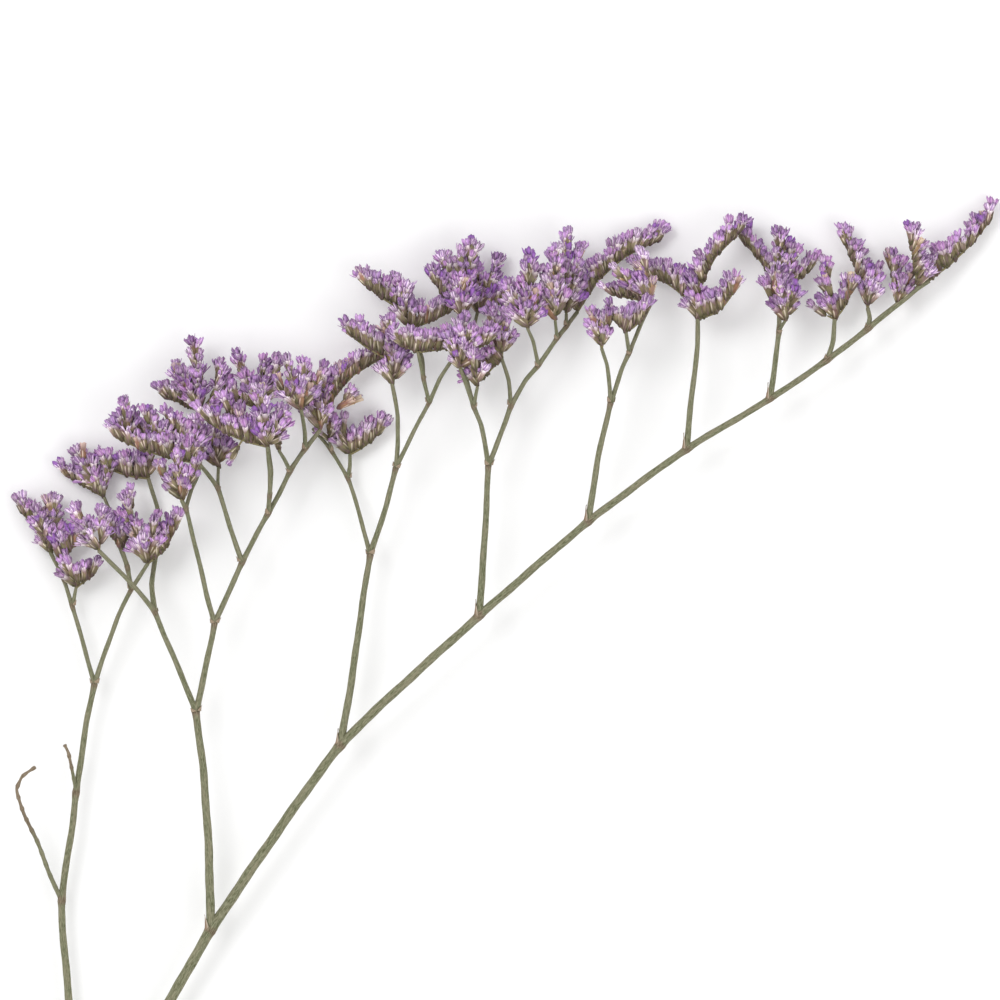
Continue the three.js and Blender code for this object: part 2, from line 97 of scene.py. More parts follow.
# For each look of a head: the shares of those families and the kinds of flower it has.
TONES = {
    "lilac": ((0.68, 0.16, 0.12, 0.04), (0, 1, 2, 3, 4, 5, 6)),
    "deep": ((0.32, 0.08, 0.55, 0.05), (3, 4, 5, 6)),
    "olive": ((0.55, 0.12, 0.13, 0.20), (3, 5, 6, 7, 6, 7)),
    "tan": ((0.52, 0.16, 0.06, 0.26), (0, 1, 3, 4, 5, 7)),
}


class Row:
    """One row of the layout: its words as attributes."""

    def __init__(self, **words):
        self.__dict__.update(words)


def stem(parent, fork, thick, thin, *course):
    """Its parent stem and the point that it forks from, its diameters at its foot and tip, and
    the points of its course after the fork."""
    return Row(parent=parent, fork=fork, thick=thick, thin=thin, course=course)


def spike(dx, dy, dz, bow=0.0, side=0.0, share=0.0, few=0):
    """How far it runs from its seat, its bow to the left, the side that carries its flowers,
    where along the head's first spike it starts, and how many flowers it has if only a few."""
    return Row(reach=(dx, dy, dz), bow=bow, side=side, share=share, few=few)


def head(seat, *spikes, point=-1, tone="lilac"):
    """A flower head on a point of its stem, with the words of each of its spikes."""
    return Row(seat=seat, spikes=[spike(*words) for words in spikes], point=point, tone=tone)


STEMS = {
    "main": stem(None, 0, 3.5, 1.5, (0, 0, 2), (18.5, 46.5, 4), (43.5, 86, 6), (55, 106, 7),
        (90, 156, 9), (127.5, 191, 10), (157, 216.5, 10.5), (183.5, 236, 10.5), (206, 249.5, 10),
        (221.5, 260, 9), (232.5, 268.5, 8), (240.5, 275, 7), (246, 279.5, 6.5), (249, 281.5, 6)),
    "first": stem("main", 1, 2.5, 1.6, (17.5, 68.5, 4.5), (16.5, 87, 5), (15, 103.5, 5),
        (14.5, 114, 5), (17.5, 134.5, 5.5), (18.5, 143, 5.5), (21.5, 163, 6), (23.5, 172.5, 6)),
    "first_dead_shoot": stem("first", 4, 1.3, 0.7, (11, 122, 6), (8, 130, 7), (4.5, 137.5, 8),
        (2.5, 144, 8.5), (4, 147.5, 8.5), (7.5, 150, 8)),
    "first_dead_bud": stem("first", 6, 1.1, 0.8, (17.5, 149, 7), (16.5, 154, 8), (15.5, 156, 8)),
    "first_left": stem("first", 8, 1.4, 1.1, (20.5, 183, 5.5), (17.5, 193.5, 5), (15, 201, 4.5),
        (11.5, 208, 4)),
    "first_left_twig": stem("first_left", 2, 1.1, 0.9, (18.5, 198.5, 5.5)),
    "first_left_side": stem("first_left", 3, 1, 0.8, (14.5, 205, 5)),
    "first_right": stem("first", 8, 1.5, 1.2, (26.5, 181.5, 6.5), (30, 191, 7), (33.5, 198, 7.5),
        (36, 202, 9), (38, 205, 10)),
    "first_right_twig": stem("first_right", 3, 1.3, 1.1, (32.5, 204, 8), (31, 209, 9)),
    "first_top": stem("first_right_twig", 1, 1.1, 1, (30, 210, 5), (28.5, 217, 3.5), (26, 223, 4)),
    "second": stem("main", 3, 2.6, 2, (54.5, 127.5, 8), (53, 149.5, 9), (51, 165, 9.5)),
    "second_left": stem("second", 3, 1.7, 1.2, (46.5, 176.5, 11), (42.5, 185.5, 12), (40, 192, 13),
        (36, 197, 14), (31, 202.5, 15), (25, 208.5, 16.5)),
    "second_twig": stem("second_left", 3, 1.5, 1.1, (39, 199.5, 9), (39.5, 204, 5), (41, 213, 3),
        (40.5, 219.5, 3), (38, 228, 4)),
    "second_right": stem("second", 3, 1.9, 1.6, (53.5, 176.5, 10), (55.5, 186, 10.5),
        (56, 189, 10.5)),
    "second_core": stem("second_right", 3, 1.5, 1.2, (54, 196.5, 12), (51.5, 207.5, 15),
        (48.5, 220, 20.5), (47.5, 222, 21.5)),
    "second_crown": stem("second_core", 3, 1.2, 1, (50, 225, 15), (51.5, 229, 10.5),
        (52.5, 235.5, 8), (52, 246, 8)),
    "second_out": stem("second_right", 3, 1.6, 1.2, (60.5, 198.5, 11), (63.5, 205.5, 11.5),
        (68, 214, 11.5), (70.5, 218.5, 11.5), (73.5, 224, 11.5), (76.5, 230, 11.5),
        (80.5, 236, 11), (84.5, 241, 10.5)),
    "second_mid": stem("second_out", 2, 1.6, 1.2, (60, 215.5, 12.5), (57, 225.5, 13.5),
        (52, 232, 15)),
    "second_inner": stem("second_mid", 2, 1.1, 0.9, (57, 228, 10.5), (57, 231, 7.5)),
    "second_shelf": stem("second_out", 4, 1.3, 1.1, (71, 223.5, 14), (71, 230.5, 18),
        (70.5, 236.5, 21)),
    "second_upper": stem("second_shelf", 1, 1.1, 1, (71.5, 230, 11), (70.5, 236.5, 8.5),
        (67.5, 247, 8)),
    "second_shelf_right": stem("second_out", 6, 1.2, 1, (75, 233, 13), (73.5, 235.5, 14.5)),
    "second_right_twig": stem("second_out", 7, 1.2, 1, (80.5, 240.5, 12.5), (79.5, 246.5, 14.5)),
    "third": stem("main", 4, 2.2, 1.7, (93, 173.5, 8.5), (96, 195, 8), (98, 207.5, 7.5)),
    "third_left": stem("third", 3, 1.4, 1, (95.5, 217, 6), (92, 228, 4.5), (87.5, 235.5, 3.5),
        (82.5, 241.5, 3)),
    "third_left_twig": stem("third_left", 2, 1.2, 1, (92.5, 231.5, 4), (92.5, 234.5, 4)),
    "third_left_bud": stem("third_left", 3, 1, 0.8, (87, 238, 4.5)),
    "third_right": stem("third", 3, 1.6, 1.4, (102.5, 221, 9), (105, 231, 10)),
    "third_mid": stem("third_right", 2, 1.4, 1.2, (105.5, 237.5, 10.5), (105.5, 245, 11),
        (104, 253.5, 12)),
    "third_out": stem("third_right", 2, 1.4, 1.2, (109.5, 240, 12), (114, 248.5, 14.5)),
    "third_shelf": stem("third_out", 2, 1.2, 1, (112.5, 255, 15.5), (111, 262, 16)),
    "third_shelf_right": stem("third_out", 2, 1.2, 1, (117, 255, 15), (120.5, 260.5, 15.5)),
    "third_top": stem("third_shelf", 1, 1.1, 1, (112, 261, 11), (108.5, 268.5, 8.5)),
    "fourth": stem("main", 5, 2.1, 1.6, (129, 211.5, 10.5), (130, 231.5, 11)),
    "fourth_left": stem("fourth", 2, 1.4, 1.1, (128, 242.5, 13), (126, 247.5, 16),
        (122.5, 257.5, 21)),
    "fourth_left_twig": stem("fourth_left", 2, 1.1, 0.9, (127, 252.5, 19)),
    "fourth_top": stem("fourth_left", 2, 1.2, 1, (124, 255.5, 11), (123.5, 264, 7),
        (123, 271.5, 8)),
    "fourth_top_right": stem("fourth_top", 2, 1, 0.9, (126, 268.5, 5), (127, 273, 4)),
    "fourth_right": stem("fourth", 2, 1.5, 1.1, (134.5, 243, 10.5), (136, 247.5, 10),
        (140, 254.5, 10), (143.5, 258.5, 10), (148.5, 266, 10), (151, 269, 9), (154, 273, 6)),
    "fourth_mid": stem("fourth_right", 2, 1.2, 1, (135.5, 254.5, 10), (133.5, 260.5, 10)),
    "fourth_spire": stem("fourth_right", 4, 1.2, 1, (142, 265, 13), (140.5, 268.5, 15)),
    "fourth_tall_left": stem("fourth_right", 5, 1.1, 0.9, (148, 270.5, 13.5)),
    "fourth_tall": stem("fourth_right", 6, 1, 0.9, (151, 272.5, 8.5)),
    "fifth": stem("main", 6, 1.9, 1.5, (159.5, 233, 11), (163, 248.5, 12)),
    "fifth_left": stem("fifth", 2, 1.3, 1, (162, 258.5, 14), (160.5, 263, 16)),
    "fifth_right": stem("fifth", 2, 1.4, 1.1, (166, 257.5, 12), (168, 262, 12), (171, 269.5, 12),
        (174, 275.5, 12)),
    "fifth_low": stem("fifth_right", 2, 1.1, 1, (167.5, 264.5, 15), (167, 267.5, 17.5)),
    "sixth": stem("main", 7, 1.8, 1.3, (185, 251.5, 10), (186.5, 264, 9.5), (186.5, 271, 9.5)),
    "seventh": stem("main", 8, 1.7, 1.3, (207.5, 260, 9.5), (208.5, 268, 9), (208.5, 272, 9)),
    "seventh_front": stem("seventh", 2, 1.1, 0.9, (210, 270.5, 13)),
    "eighth": stem("main", 9, 1.5, 1.2, (223, 265, 8.5), (223.5, 271, 8)),
    "ninth": stem("main", 10, 1.4, 1.1, (233, 271.5, 7), (232.5, 274, 6)),
}

HEADS = [
    head("first_left", (-7, 10, 0, -0.5, -0.7), (1, 10.5, 0.5), (-2.5, 6, 2)),
    head("first_left_side", (7, 7, 0, 1, 1)),
    head("first_left_twig", (-2, 5, 0), (4, 3, 0, 0, 0.8)),
    head("first_right_twig", (2.5, 11.5, 0, -1, 1), (-4.5, 5.5, 0, 0, -0.5)),
    head("first_top", (-9.5, 5.5, 0, 0, -1), (-5.5, 9, 0), (0.5, 4, 0)),
    head("first_right", (-2.5, 7.5, 0, 0, 0.3), (1.5, 8.5, 1), (7.5, 9.5, 0, -1, 1)),
    head("second_left", (-4.5, 8, 0, 0, 0.5), (1, 6.5, 0)),
    head("second_twig", (0.5, 5.5, 0), (-10.5, 2.5, 0, 0.5, -1)),
    head("second_core", (-5, 6, 0, 0, -0.6), (-1, 8.5, 1), (3, 7, 0, 0, 0.4), tone="olive"),
    head("second_mid", (-22.5, 7, 0, 1, -1), (-0.5, 8, 0), (-0.5, 6.5, 0, 0, 0, 0.85),
        (-15, 8.5, -2, 1, -1, 0.12), (-5.5, 8, 0, 0.5, -1, 0.35), (-4.5, 9, 0, 0, -0.5, 0.1)),
    head("second_crown", (-8.5, 4, 0, 0, -1), (-5.5, 9.5, 0), (-1, 14, 0), (5, 9, 0, -1, -0.5)),
    head("second_inner", (-1.5, 7, -1), (1.5, 7.5, -1), tone="deep"),
    head("second_shelf", (-15.5, 6.5, 0, 1, -1), (-1.5, 12.5, 0), (-2, -3, 0, 0, -1, 0.4, 2),
        (-8, 8, -2, 1, -1, 0.15), (3.5, 6, -1)),
    head("second_shelf_right", (1, 7, 0, 0, 0.5)),
    head("second_upper", (-4, 9.5, 0, 0, 0.3), (1.5, 8.5, 0), (4.5, 9, 0), (-8, 3, 0, 0, -1)),
    head("second_right_twig", (-5, 4.5, 0, 0, -0.8), (-3, 9.5, 0), (1, 9, 0), (4, 6.5, -1),
        tone="olive"),
    head("second_out", (16.5, 19.5, -6, 3.2, 1), (-2, 8, -1), (1, 10, -1),
        (1.5, 1.5, 0, 0, -1, 0.3), (4.5, 12, -2, 1, 1, 0.1), tone="tan"),
    head("third_left_twig", (-1.5, 5, 0, 0, 0.5), (7.5, 5.5, 0, -0.5, 1)),
    head("third_left_bud", (0, 2, 1)),
    head("third_mid", (-0.5, 14, 0), (-10.5, 6.5, -1, 0.5, -1, 0.45), (2, 5.5, 0)),
    head("third_shelf", (-4.5, 2, 0, 0, -1), (8, 1, 0, 0, 1)),
    head("third_shelf_right", (9, 4, 0, -0.5, 1), (2, 6.5, 0)),
    head("third_top", (-3, 11, 0, 0, -0.2), (-10.5, 7, 0, 0.5, -1, 0.45), (11.5, 5, -3, -0.5, 1)),
    head("fourth_left", (-2.5, 6, 0), (2, 7.5, 0)),
    head("fourth_left_twig", (-0.5, 4.5, 2)),
    head("fourth_mid", (-5.5, -6, 0, 0, -1), (1.5, 10.5, 0), (-2, 9.5, 1)),
    head("fourth_top", (-7.5, 9.5, 0, 0.5, -1), (-4.5, 13, 0), (-0.5, 12.5, 1), (2, 16.5, 0)),
    head("fourth_top_right", (0, 8, 0), (8, 3.5, 0, -0.5, 1), (4, 9.5, 0)),
    head("fourth_spire", (0.5, 15, 0), (-4, 8, 0, 0, 0.3), (2, 6, 0)),
    head("fourth_tall_left", (-1.5, 8.5, 0, 0, 0.3), (0, 15.5, 0)),
    head("fourth_tall", (0.5, 17, 0), (3, 14, 0, 0, -0.3)),
    head("fourth_right", (22, 19.5, -2.5, 3, 1)),
    head("fifth_left", (-1.5, 5.5, 1), (1.5, 5.5, 1)),
    head("fifth_low", (5, 4.5, 0, -0.5, 1), (-2.5, 2.5, 0, 0, -1)),
    head("fifth_right", (-1.5, 8.5, 0, -0.5, 1), (-10, 2, 0, 0, -1), (-7.5, 6, 1.5), tone="olive"),
    head("sixth", (-15.5, 12, -5.5, -3, -1), (11, 23, 0, 3.4, 1), (9.5, 7, 4, -1.4, 1)),
    head("seventh", (-9, 19.5, -5, -2.2, -1), (2, 14, 1, 0, 0, 0.2), (5, 11, 0, 0, 0, 0.2),
        (9.5, 8, -3, 0, 1, 0.2)),
    head("seventh_front", (-1, 6.5, 2), (1.5, 5.5, 2)),
    head("eighth", (-2, 11.5, 0, 0, 0.4), (4.5, 7.5, 0, -0.5, 0.8), (-2, 1, 0, 0, 0, 0, 1),
        tone="olive"),
    head("ninth", (-6, 17.5, -1, -0.5, -1), (1.5, 6.5, 0)),
    head("main", (-1.5, 9.5, -3, 0, -0.5), (3, 6.5, -2), point=11, tone="olive"),
    head("main", (-2, 12.5, 5, 0, -1), point=12),
    head("main", (16.5, 16, -2.5, -1, 1)),
]

BRANCHES = ["first", "second", "third", "fourth", "fifth", "sixth", "seventh", "eighth", "ninth"]
LEAFED_BRANCHES = BRANCHES[:7]
DEAD_STEMS = ["first_dead_shoot", "first_dead_bud"]
# A flower that would stand up from the surface lies over, as in a spray laid down to dry.
LAID_FLAT = np.array([1.0, 1.0, 0.5])
# Flowers turn towards the light, which came from this side while they grew.
FLOWERS_REACH_FOR = np.array([0.0, 1.0, 0.0])
# Under this height petals are pressed by the surface they lie on, and keep this share of their
# depth. A flower whose tip comes closer to the surface than its clearance points up more.
RESTING = 0.3
KEPT_DEPTH = 0.15
FLOWER_CLEARANCE = 1.2
# A spike whose side is at least this much carries its flowers on that side only.
ONE_SIDED = 0.5
# The axis that a spike's flowers grow on.
AXIS_RADIUS = 0.33
AXIS_RINGS, AXIS_SIDES = 7, 6

# How far a curve's tangents reach, and how many places it has between two of its points.
TAUTNESS = 0.5
STEM_STEPS, SPIKE_STEPS = 14, 8

# A stem's radius over its thickness: a little under a half, which leaves room for its ridges.
RADIUS_SHARE = 0.47
# How far a fork's and a foot's swelling reach along a stem, and how strong the foot's is.
FORK_REACH, FOOT_REACH, FOOT_SWELLING = 1.3, 1.2, 0.7
# Stems from this thickness on have more sides and longer steps than twigs.
STOUT = 1.7
MAIN_SIDES, STOUT_SIDES, TWIG_SIDES = 20, 15, 10
STOUT_STEP, TWIG_STEP = 1.1, 0.8
# How far a stem wavers off its course, and how far from its ends it begins to.
WAVER, WAVER_FADE = 0.06, 6
# A spot's browning: 0 is green, and these are the pith of the cut end, old bark and papery scales.
PITH, BROWN, PAPERY = -1.0, 1.0, 2.0

# A scale leaf stands this far off its stem, and has this many spots along and across it.
LEAF_GAP, LEAF_LENGTH, LEAF_THICKNESS = 0.15, 4.2, 0.22
LEAF_GRID = 7
# The small scale at the foot of a twig: its shortest and longest length.
SMALL_SCALE = (1.1, 1.7)

# What the camera sees: the middle of the view and its width.
VIEW_CENTRE = (133.1, 222.2, 13.0)
VIEW_WIDTH = 270.0
LENS, SENSOR = 600.0, 36.0
# The stage, in metres and watts: each light's name, place, width and power.
LIGHTS = [
    ("main_light", (-0.9, 0.9, 1.9), 1.1, 16.0),
    ("fill_light", (1.2, -0.6, 1.6), 1.6, 8.0),
]
SKY_STRENGTH = 0.84
FLOOR_REACH = 6.0

# The stems' curves, once they are made.
COURSES = {}


# Curves and shapes, in millimetres


class Course:
    """A smooth curve through points, read by its share of the length."""

    def __init__(self, points, steps):
        points = [np.array(p, float) for p in points]
        run = [2 * points[0] - points[1], *points, 2 * points[-1] - points[-2]]
        places = []
        for a, b, c, d in zip(run, run[1:], run[2:], run[3:], strict=False):
            gaps = [math.sqrt(max(np.linalg.norm(gap), 1e-4)) for gap in (b - a, c - b, d - c)]
            out = (b - a) / gaps[0] - (c - a) / (gaps[0] + gaps[1]) + (c - b) / gaps[1]
            into = (c - b) / gaps[1] - (d - b) / (gaps[1] + gaps[2]) + (d - c) / gaps[2]
            out, into = out * gaps[1] * TAUTNESS, into * gaps[1] * TAUTNESS
            for step in range(steps):
                t = step / steps
                places.append(
                    b + out * t + (3 * (c - b) - 2 * out - into) * t**2
                    + (2 * (b - c) + out + into) * t**3
                )
        places.append(points[-1])
        self.places = np.array(places)
        gaps = np.linalg.norm(np.diff(self.places, axis=0), axis=1)
        run_length = np.concatenate([[0], np.cumsum(gaps)])
        self.length = float(run_length[-1])
        self.shares = run_length / self.length
        self.knots = run_length[::steps]

    def on_curve(self, share):
        return np.array([np.interp(share, self.shares, self.places[:, k]) for k in range(3)])

    def at(self, share):
        """The place at a share of the length. Past the ends it goes straight on."""
        inside = min(max(share, 0.0), 1.0)
        return self.on_curve(inside) + self.along(inside) * (share - inside) * self.length

    def along(self, share):
        """The direction at a share of the length."""
        low, high = max(share - 0.004, 0.0), min(share + 0.004, 1.0)
        return unit(self.on_curve(high) - self.on_curve(low))

    def frame(self, share):
        """Its place there, its direction, the direction to its left and the one over it."""
        along = self.along(share)
        left = unit(np.cross(UP, along))
        return self.at(share), along, left, np.cross(along, left)


def unit(vector):
    return np.asarray(vector, float) / max(np.linalg.norm(vector), 1e-12)


class Shape:
    """Vertices, faces, corner places on the chart and vertex values, before they become a mesh."""

    def __init__(self):
        self.spots, self.faces, self.chart, self.smooth = [], [], [], []
        self.values = {}

    def add_spots(self, spots, **values):
        first = len(self.spots)
        self.spots.extend(np.asarray(spots, float))
        for name, given in values.items():
            self.values.setdefault(name, []).extend(given)
        return first

    def add_face(self, corners, chart, smooth=True):
        self.faces.append(tuple(corners))
        self.chart.extend(chart)
        self.smooth.append(smooth)

    def tube(self, rings, heights, band, **values):
        """One closed body from rings of equally many spots, each at its height on the chart."""
        count = len(rings[0])
        first = self.add_spots(np.concatenate(rings), **values)
        across = [band[0] + (band[1] - band[0]) * k / count for k in range(count + 1)]
        for i in range(len(rings) - 1):
            low, high = first + i * count, first + (i + 1) * count
            for k in range(count):
                j = (k + 1) % count
                self.add_face(
                    (low + k, low + j, high + j, high + k),
                    [(heights[i], across[k]), (heights[i], across[k + 1]),
                     (heights[i + 1], across[k + 1]), (heights[i + 1], across[k])],
                )
        last = first + (len(rings) - 1) * count
        self.add_face([first + k for k in reversed(range(count))],
                      [(heights[0], across[k]) for k in reversed(range(count))], False)
        self.add_face([last + k for k in range(count)],
                      [(heights[-1], across[k]) for k in range(count)], False)

    def plate(self, front, back, heights, band, **values):
        """One closed thin body from two grids of spots, [rise][across], joined round the edge."""
        rise, wide = len(front), len(front[0])
        spots = [spot for grid in (front, back) for row in grid for spot in row]
        first = self.add_spots(spots, **values)
        across = [band[0] + (band[1] - band[0]) * k / (wide - 1) for k in range(wide)]

        def at(side, i, j):
            return first + side * rise * wide + i * wide + j

        def spot(i, j):
            return (heights[i], across[j])

        for i in range(rise - 1):
            for j in range(wide - 1):
                corners = [(i, j), (i, j + 1), (i + 1, j + 1), (i + 1, j)]
                self.add_face([at(0, *c) for c in corners], [spot(*c) for c in corners])
                corners.reverse()
                self.add_face([at(1, *c) for c in corners], [spot(*c) for c in corners])
        edge = [(0, j) for j in range(wide)] + [(i, wide - 1) for i in range(1, rise)]
        edge += [(rise - 1, j) for j in reversed(range(wide - 1))]
        edge += [(i, 0) for i in reversed(range(1, rise - 1))]
        for a, b in zip(edge, edge[1:] + edge[:1], strict=True):
            corners = [at(0, *b), at(0, *a), at(1, *a), at(1, *b)]
            self.add_face(corners, [spot(*b), spot(*a), spot(*a), spot(*b)], False)

    def mesh(self, name, scale=MM, shift=(0.0, 0.0, 0.0)):
        made = bpy.data.meshes.new(name)
        spots = np.array(self.spots) * scale + np.array(shift)
        made.from_pydata(spots.tolist(), [], self.faces)
        chart = made.uv_layers.new(name=CHART)
        chart.data.foreach_set("uv", np.array(self.chart, np.float32).ravel())
        made.polygons.foreach_set("use_smooth", self.smooth)
        for key, given in self.values.items():
            given = np.array(given, np.float32)
            kind, field = ("FLOAT_VECTOR", "vector") if given.ndim == 2 else ("FLOAT", "value")
            made.attributes.new(key, kind, "POINT").data.foreach_set(field, given.ravel())
        made.validate()
        made.update()
        return made


def shown(name, mesh):
    """A new object of a mesh, in the scene."""
    made = bpy.data.objects.new(name, mesh)
    bpy.context.scene.collection.objects.link(made)
    return made


def outwards(mesh):
    """Turns every face of a mesh of closed bodies outwards."""
    work = bmesh.new()
    work.from_mesh(mesh)
    bmesh.ops.recalc_face_normals(work, faces=work.faces)
    work.to_mesh(mesh)
    work.free()


def finished_piece(shape, node, material, shift):
    """The object of a node's shape, set in the frame."""
    mesh = shape.mesh(node + "_look", shift=shift)
    outwards(mesh)
    mesh.materials.append(material)
    return shown(node + "_look", mesh)


def stem_points(name):
    """A stem's points with the one that it forks from, in millimetres from the cut end."""
    row = STEMS[name]
    points = [np.array(p) * STRETCH for p in row.course]
    return [stem_points(row.parent)[row.fork], *points] if row.parent else points


def node_of(name):
    """The node a stem belongs to. A side branch is one node with all that grows from it."""
    if name == "main":
        return "main_stem"
    if name in BRANCHES:
        return f"side_branch_{BRANCHES.index(name) + 1}"
    return node_of(STEMS[name].parent)


def course_of(name):
    if name not in COURSES:
        COURSES[name] = Course(stem_points(name), STEM_STEPS)
    return COURSES[name]


def place_in_frame():
    """Where the centre of the cut end is in the frame, in metres, from the main stem's box."""
    low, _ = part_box("main_stem")
    radius = 0.5 * STEMS["main"].thick * MM
    along = course_of("main").along(0)
    level = math.hypot(along[0], along[1])
    reach = [radius * abs(along[1]) / level, radius * abs(along[0]) / level, radius * level]
    foot = [low[k] + reach[k] for k in range(3)]
    return np.array(foot) - stem_points("main")[0] * MM


# Stems


def stem_radius(name, course, run):
    """The radius at a run of length, swollen at the forks and flared at the foot."""
    row = STEMS[name]
    share = run / course.length
    radius = RADIUS_SHARE * (row.thick + (row.thin - row.thick) * share)
    swelling = 0.0
    for child in STEMS.values():
        if child.parent == name:
            off = (run - course.knots[child.fork]) / FORK_REACH
            swelling = max(swelling, math.exp(-(off**2)))
    if row.parent:
        swelling = max(swelling, FOOT_SWELLING * math.exp(-run / FOOT_REACH))
    return radius * (1 + sizes().fork_swelling * swelling), swelling


def add_stem(shape, name, band, rng):
    """Adds a stem to its node's shape: a ridged tube that swells at its forks."""
    row, course = STEMS[name], course_of(name)
    dead = name in DEAD_STEMS
    sides, step = (STOUT_SIDES, STOUT_STEP) if row.thick >= STOUT else (TWIG_SIDES, TWIG_STEP)
    ridges = sides // 5
    if name == "main":
        sides, ridges = MAIN_SIDES, MAIN_SIDES // 5 + 1
    count = max(5, round(course.length / step))
    phases = rng.uniform(0, 2 * math.pi, 6)
    rings, heights, grain, browning = [], [], [], []

    def ring(share, shrink=1.0, sink=0.0, brown=None):
        place, along, left, over = course.frame(share)
        run = share * course.length
        radius, swelling = stem_radius(name, course, run)
        fade = min(1.0, run / WAVER_FADE, (course.length - run) / WAVER_FADE)
        place = place + fade * WAVER * (math.sin(0.33 * run + phases[0]) * left
                                        + math.sin(0.27 * run + phases[1]) * over)
        place = place - sink * along
        spots = []
        for k in range(sides):
            angle = 2 * math.pi * k / sides
            ridge = math.cos(ridges * angle + 0.02 * run + phases[2])
            knot = 0.03 * math.sin(0.9 * run + 2 * angle + phases[3])
            reach = radius * shrink * (1 + sizes().ridge_depth * ridge + knot)
            if dead:
                reach *= 1 + 0.7 * share * max(0.0, math.sin(1.9 * run + 0.6 * math.sin(angle)))
            spots.append(place + reach * (math.cos(angle) * left + math.sin(angle) * over))
            grain.append([0.12 * run + phases[5], 0.9 * math.cos(angle), 0.9 * math.sin(angle)])
            aged = 0.10 + 0.75 * swelling**1.5 + 0.25 * share
            if dead:
                aged = 0.25 + 1.1 * min(1.0, max(0.0, 3 * share - 1.1))
            browning.append(min(1.25 if dead else BROWN, aged) if brown is None else brown)
        rings.append(spots)
        heights.append(0.02 + 0.96 * share)

    if name == "main":
        for shrink, brown in ((0.12, PITH), (0.72, PITH), (0.9, BROWN)):
            ring(0.0, shrink, -0.25 * (1 - shrink), brown)
    for i in range(count + 1):
        ring(i / count)
    ring(1.0, 0.5, -0.2)
    shape.tube(rings, heights, band, grain=grain, browning=browning)


def add_scale(shape, name, length, band, rng):
    """Adds the papery scale that clasps the outer side of a stem's foot."""
    course, row = course_of(name), STEMS[name]
    parent = course_of(row.parent)
    here = parent.knots[row.fork] / parent.length
    onward = parent.along(min(here + 0.01, 1.0))
    _, along, _, _ = course.frame(min(0.5, 1.5 / course.length))
    outer = unit(along * float(onward @ along) - onward)
    over = np.cross(along, outer)
    wobble = rng.uniform(-1, 1, (LEAF_GRID, LEAF_GRID))
    front, back = [], []
    start = 0.0 if name in LEAFED_BRANCHES else 0.3 * length
    for i in range(LEAF_GRID):
        rise = i / (LEAF_GRID - 1)
        run = start + rise * length
        place = course.at(run / course.length)
        radius, _ = stem_radius(name, course, run)
        wrap = sizes().scale_wrap * (1 - 0.9 * rise**1.6)
        rows = [], []
        for j in range(LEAF_GRID):
            part = 2 * j / (LEAF_GRID - 1) - 1
            angle = 0.5 * wrap * part
            off = radius + LEAF_GAP + 0.03 * length * rise**2.4
            off += 0.05 * length * rise * abs(part) * 0.6 + 0.03 * length * rise * wobble[i, j]
            thick = LEAF_THICKNESS * (1 - 0.65 * abs(part)) * (1 - 0.6 * rise)
            way = math.cos(angle) * outer + math.sin(angle) * over
            for side, reach in enumerate((off + thick, off)):
                rows[side].append(place + reach * way
                                  + along * 0.05 * length * wobble[j, i] * rise)
        front.append(rows[0])
        back.append(rows[1])
    grain = [[i / LEAF_GRID * 0.5, 1.5 * (2 * j / (LEAF_GRID - 1) - 1), 0.3]
             for i in range(LEAF_GRID) for j in range(LEAF_GRID)]
    heights = [0.03 + 0.94 * i / (LEAF_GRID - 1) for i in range(LEAF_GRID)]
    shape.plate(front, back, heights, band, grain=grain * 2, browning=[PAPERY] * 2 * len(grain))


def stem_pieces(material, shift):
    """Each stem node with its piece: its stems, and the small scales at the feet of its twigs."""
    made = []
    nodes = sorted({node_of(name) for name in STEMS})
    for node in nodes:
        names = [name for name in STEMS if node_of(name) == node]
        rng = np.random.default_rng(SEED + nodes.index(node))
        shape = Shape()
        rows = [(name, False) for name in names]
        rows += [(name, True) for name in names if has_small_scale(name)]
        for index, (name, is_scale) in enumerate(rows):
            band = ((index + 0.04) / len(rows), (index + 0.96) / len(rows))
            if is_scale:
                add_scale(shape, name, rng.uniform(*SMALL_SCALE), band, rng)
            else:
                add_stem(shape, name, band, rng)
        made.append((node, finished_piece(shape, node, material, shift)))
    return made


def has_small_scale(name):
    row = STEMS[name]
    return bool(row.parent) and name not in LEAFED_BRANCHES and name not in DEAD_STEMS


# Flowers. A single flower is one long, stands on its foot and points up.

CUP_SIDES, PETALS = 8, 5


def wavy_ring(height, radius, wave=0.0, flute=0.0, waves=5, rng=None, rough=0.0):
    """A ring of spots whose height and radius rise and fall with its waves."""
    spots = []
    for k in range(CUP_SIDES):
        angle = 2 * math.pi * k / CUP_SIDES
        beat = math.cos(waves * angle)
        jitter = rng.uniform(-1, 1, 2) * rough if rng is not None else (0, 0)
        reach = radius * (1 + flute * beat) + jitter[0] * radius
        spots.append((reach * math.cos(angle), reach * math.sin(angle),
                      height + wave * beat + jitter[1] * 0.12))
    return spots


def strip(part, share):
    """The place along U at a share of a part's strip of the chart."""
    return part[0] + (part[1] - part[0]) * share


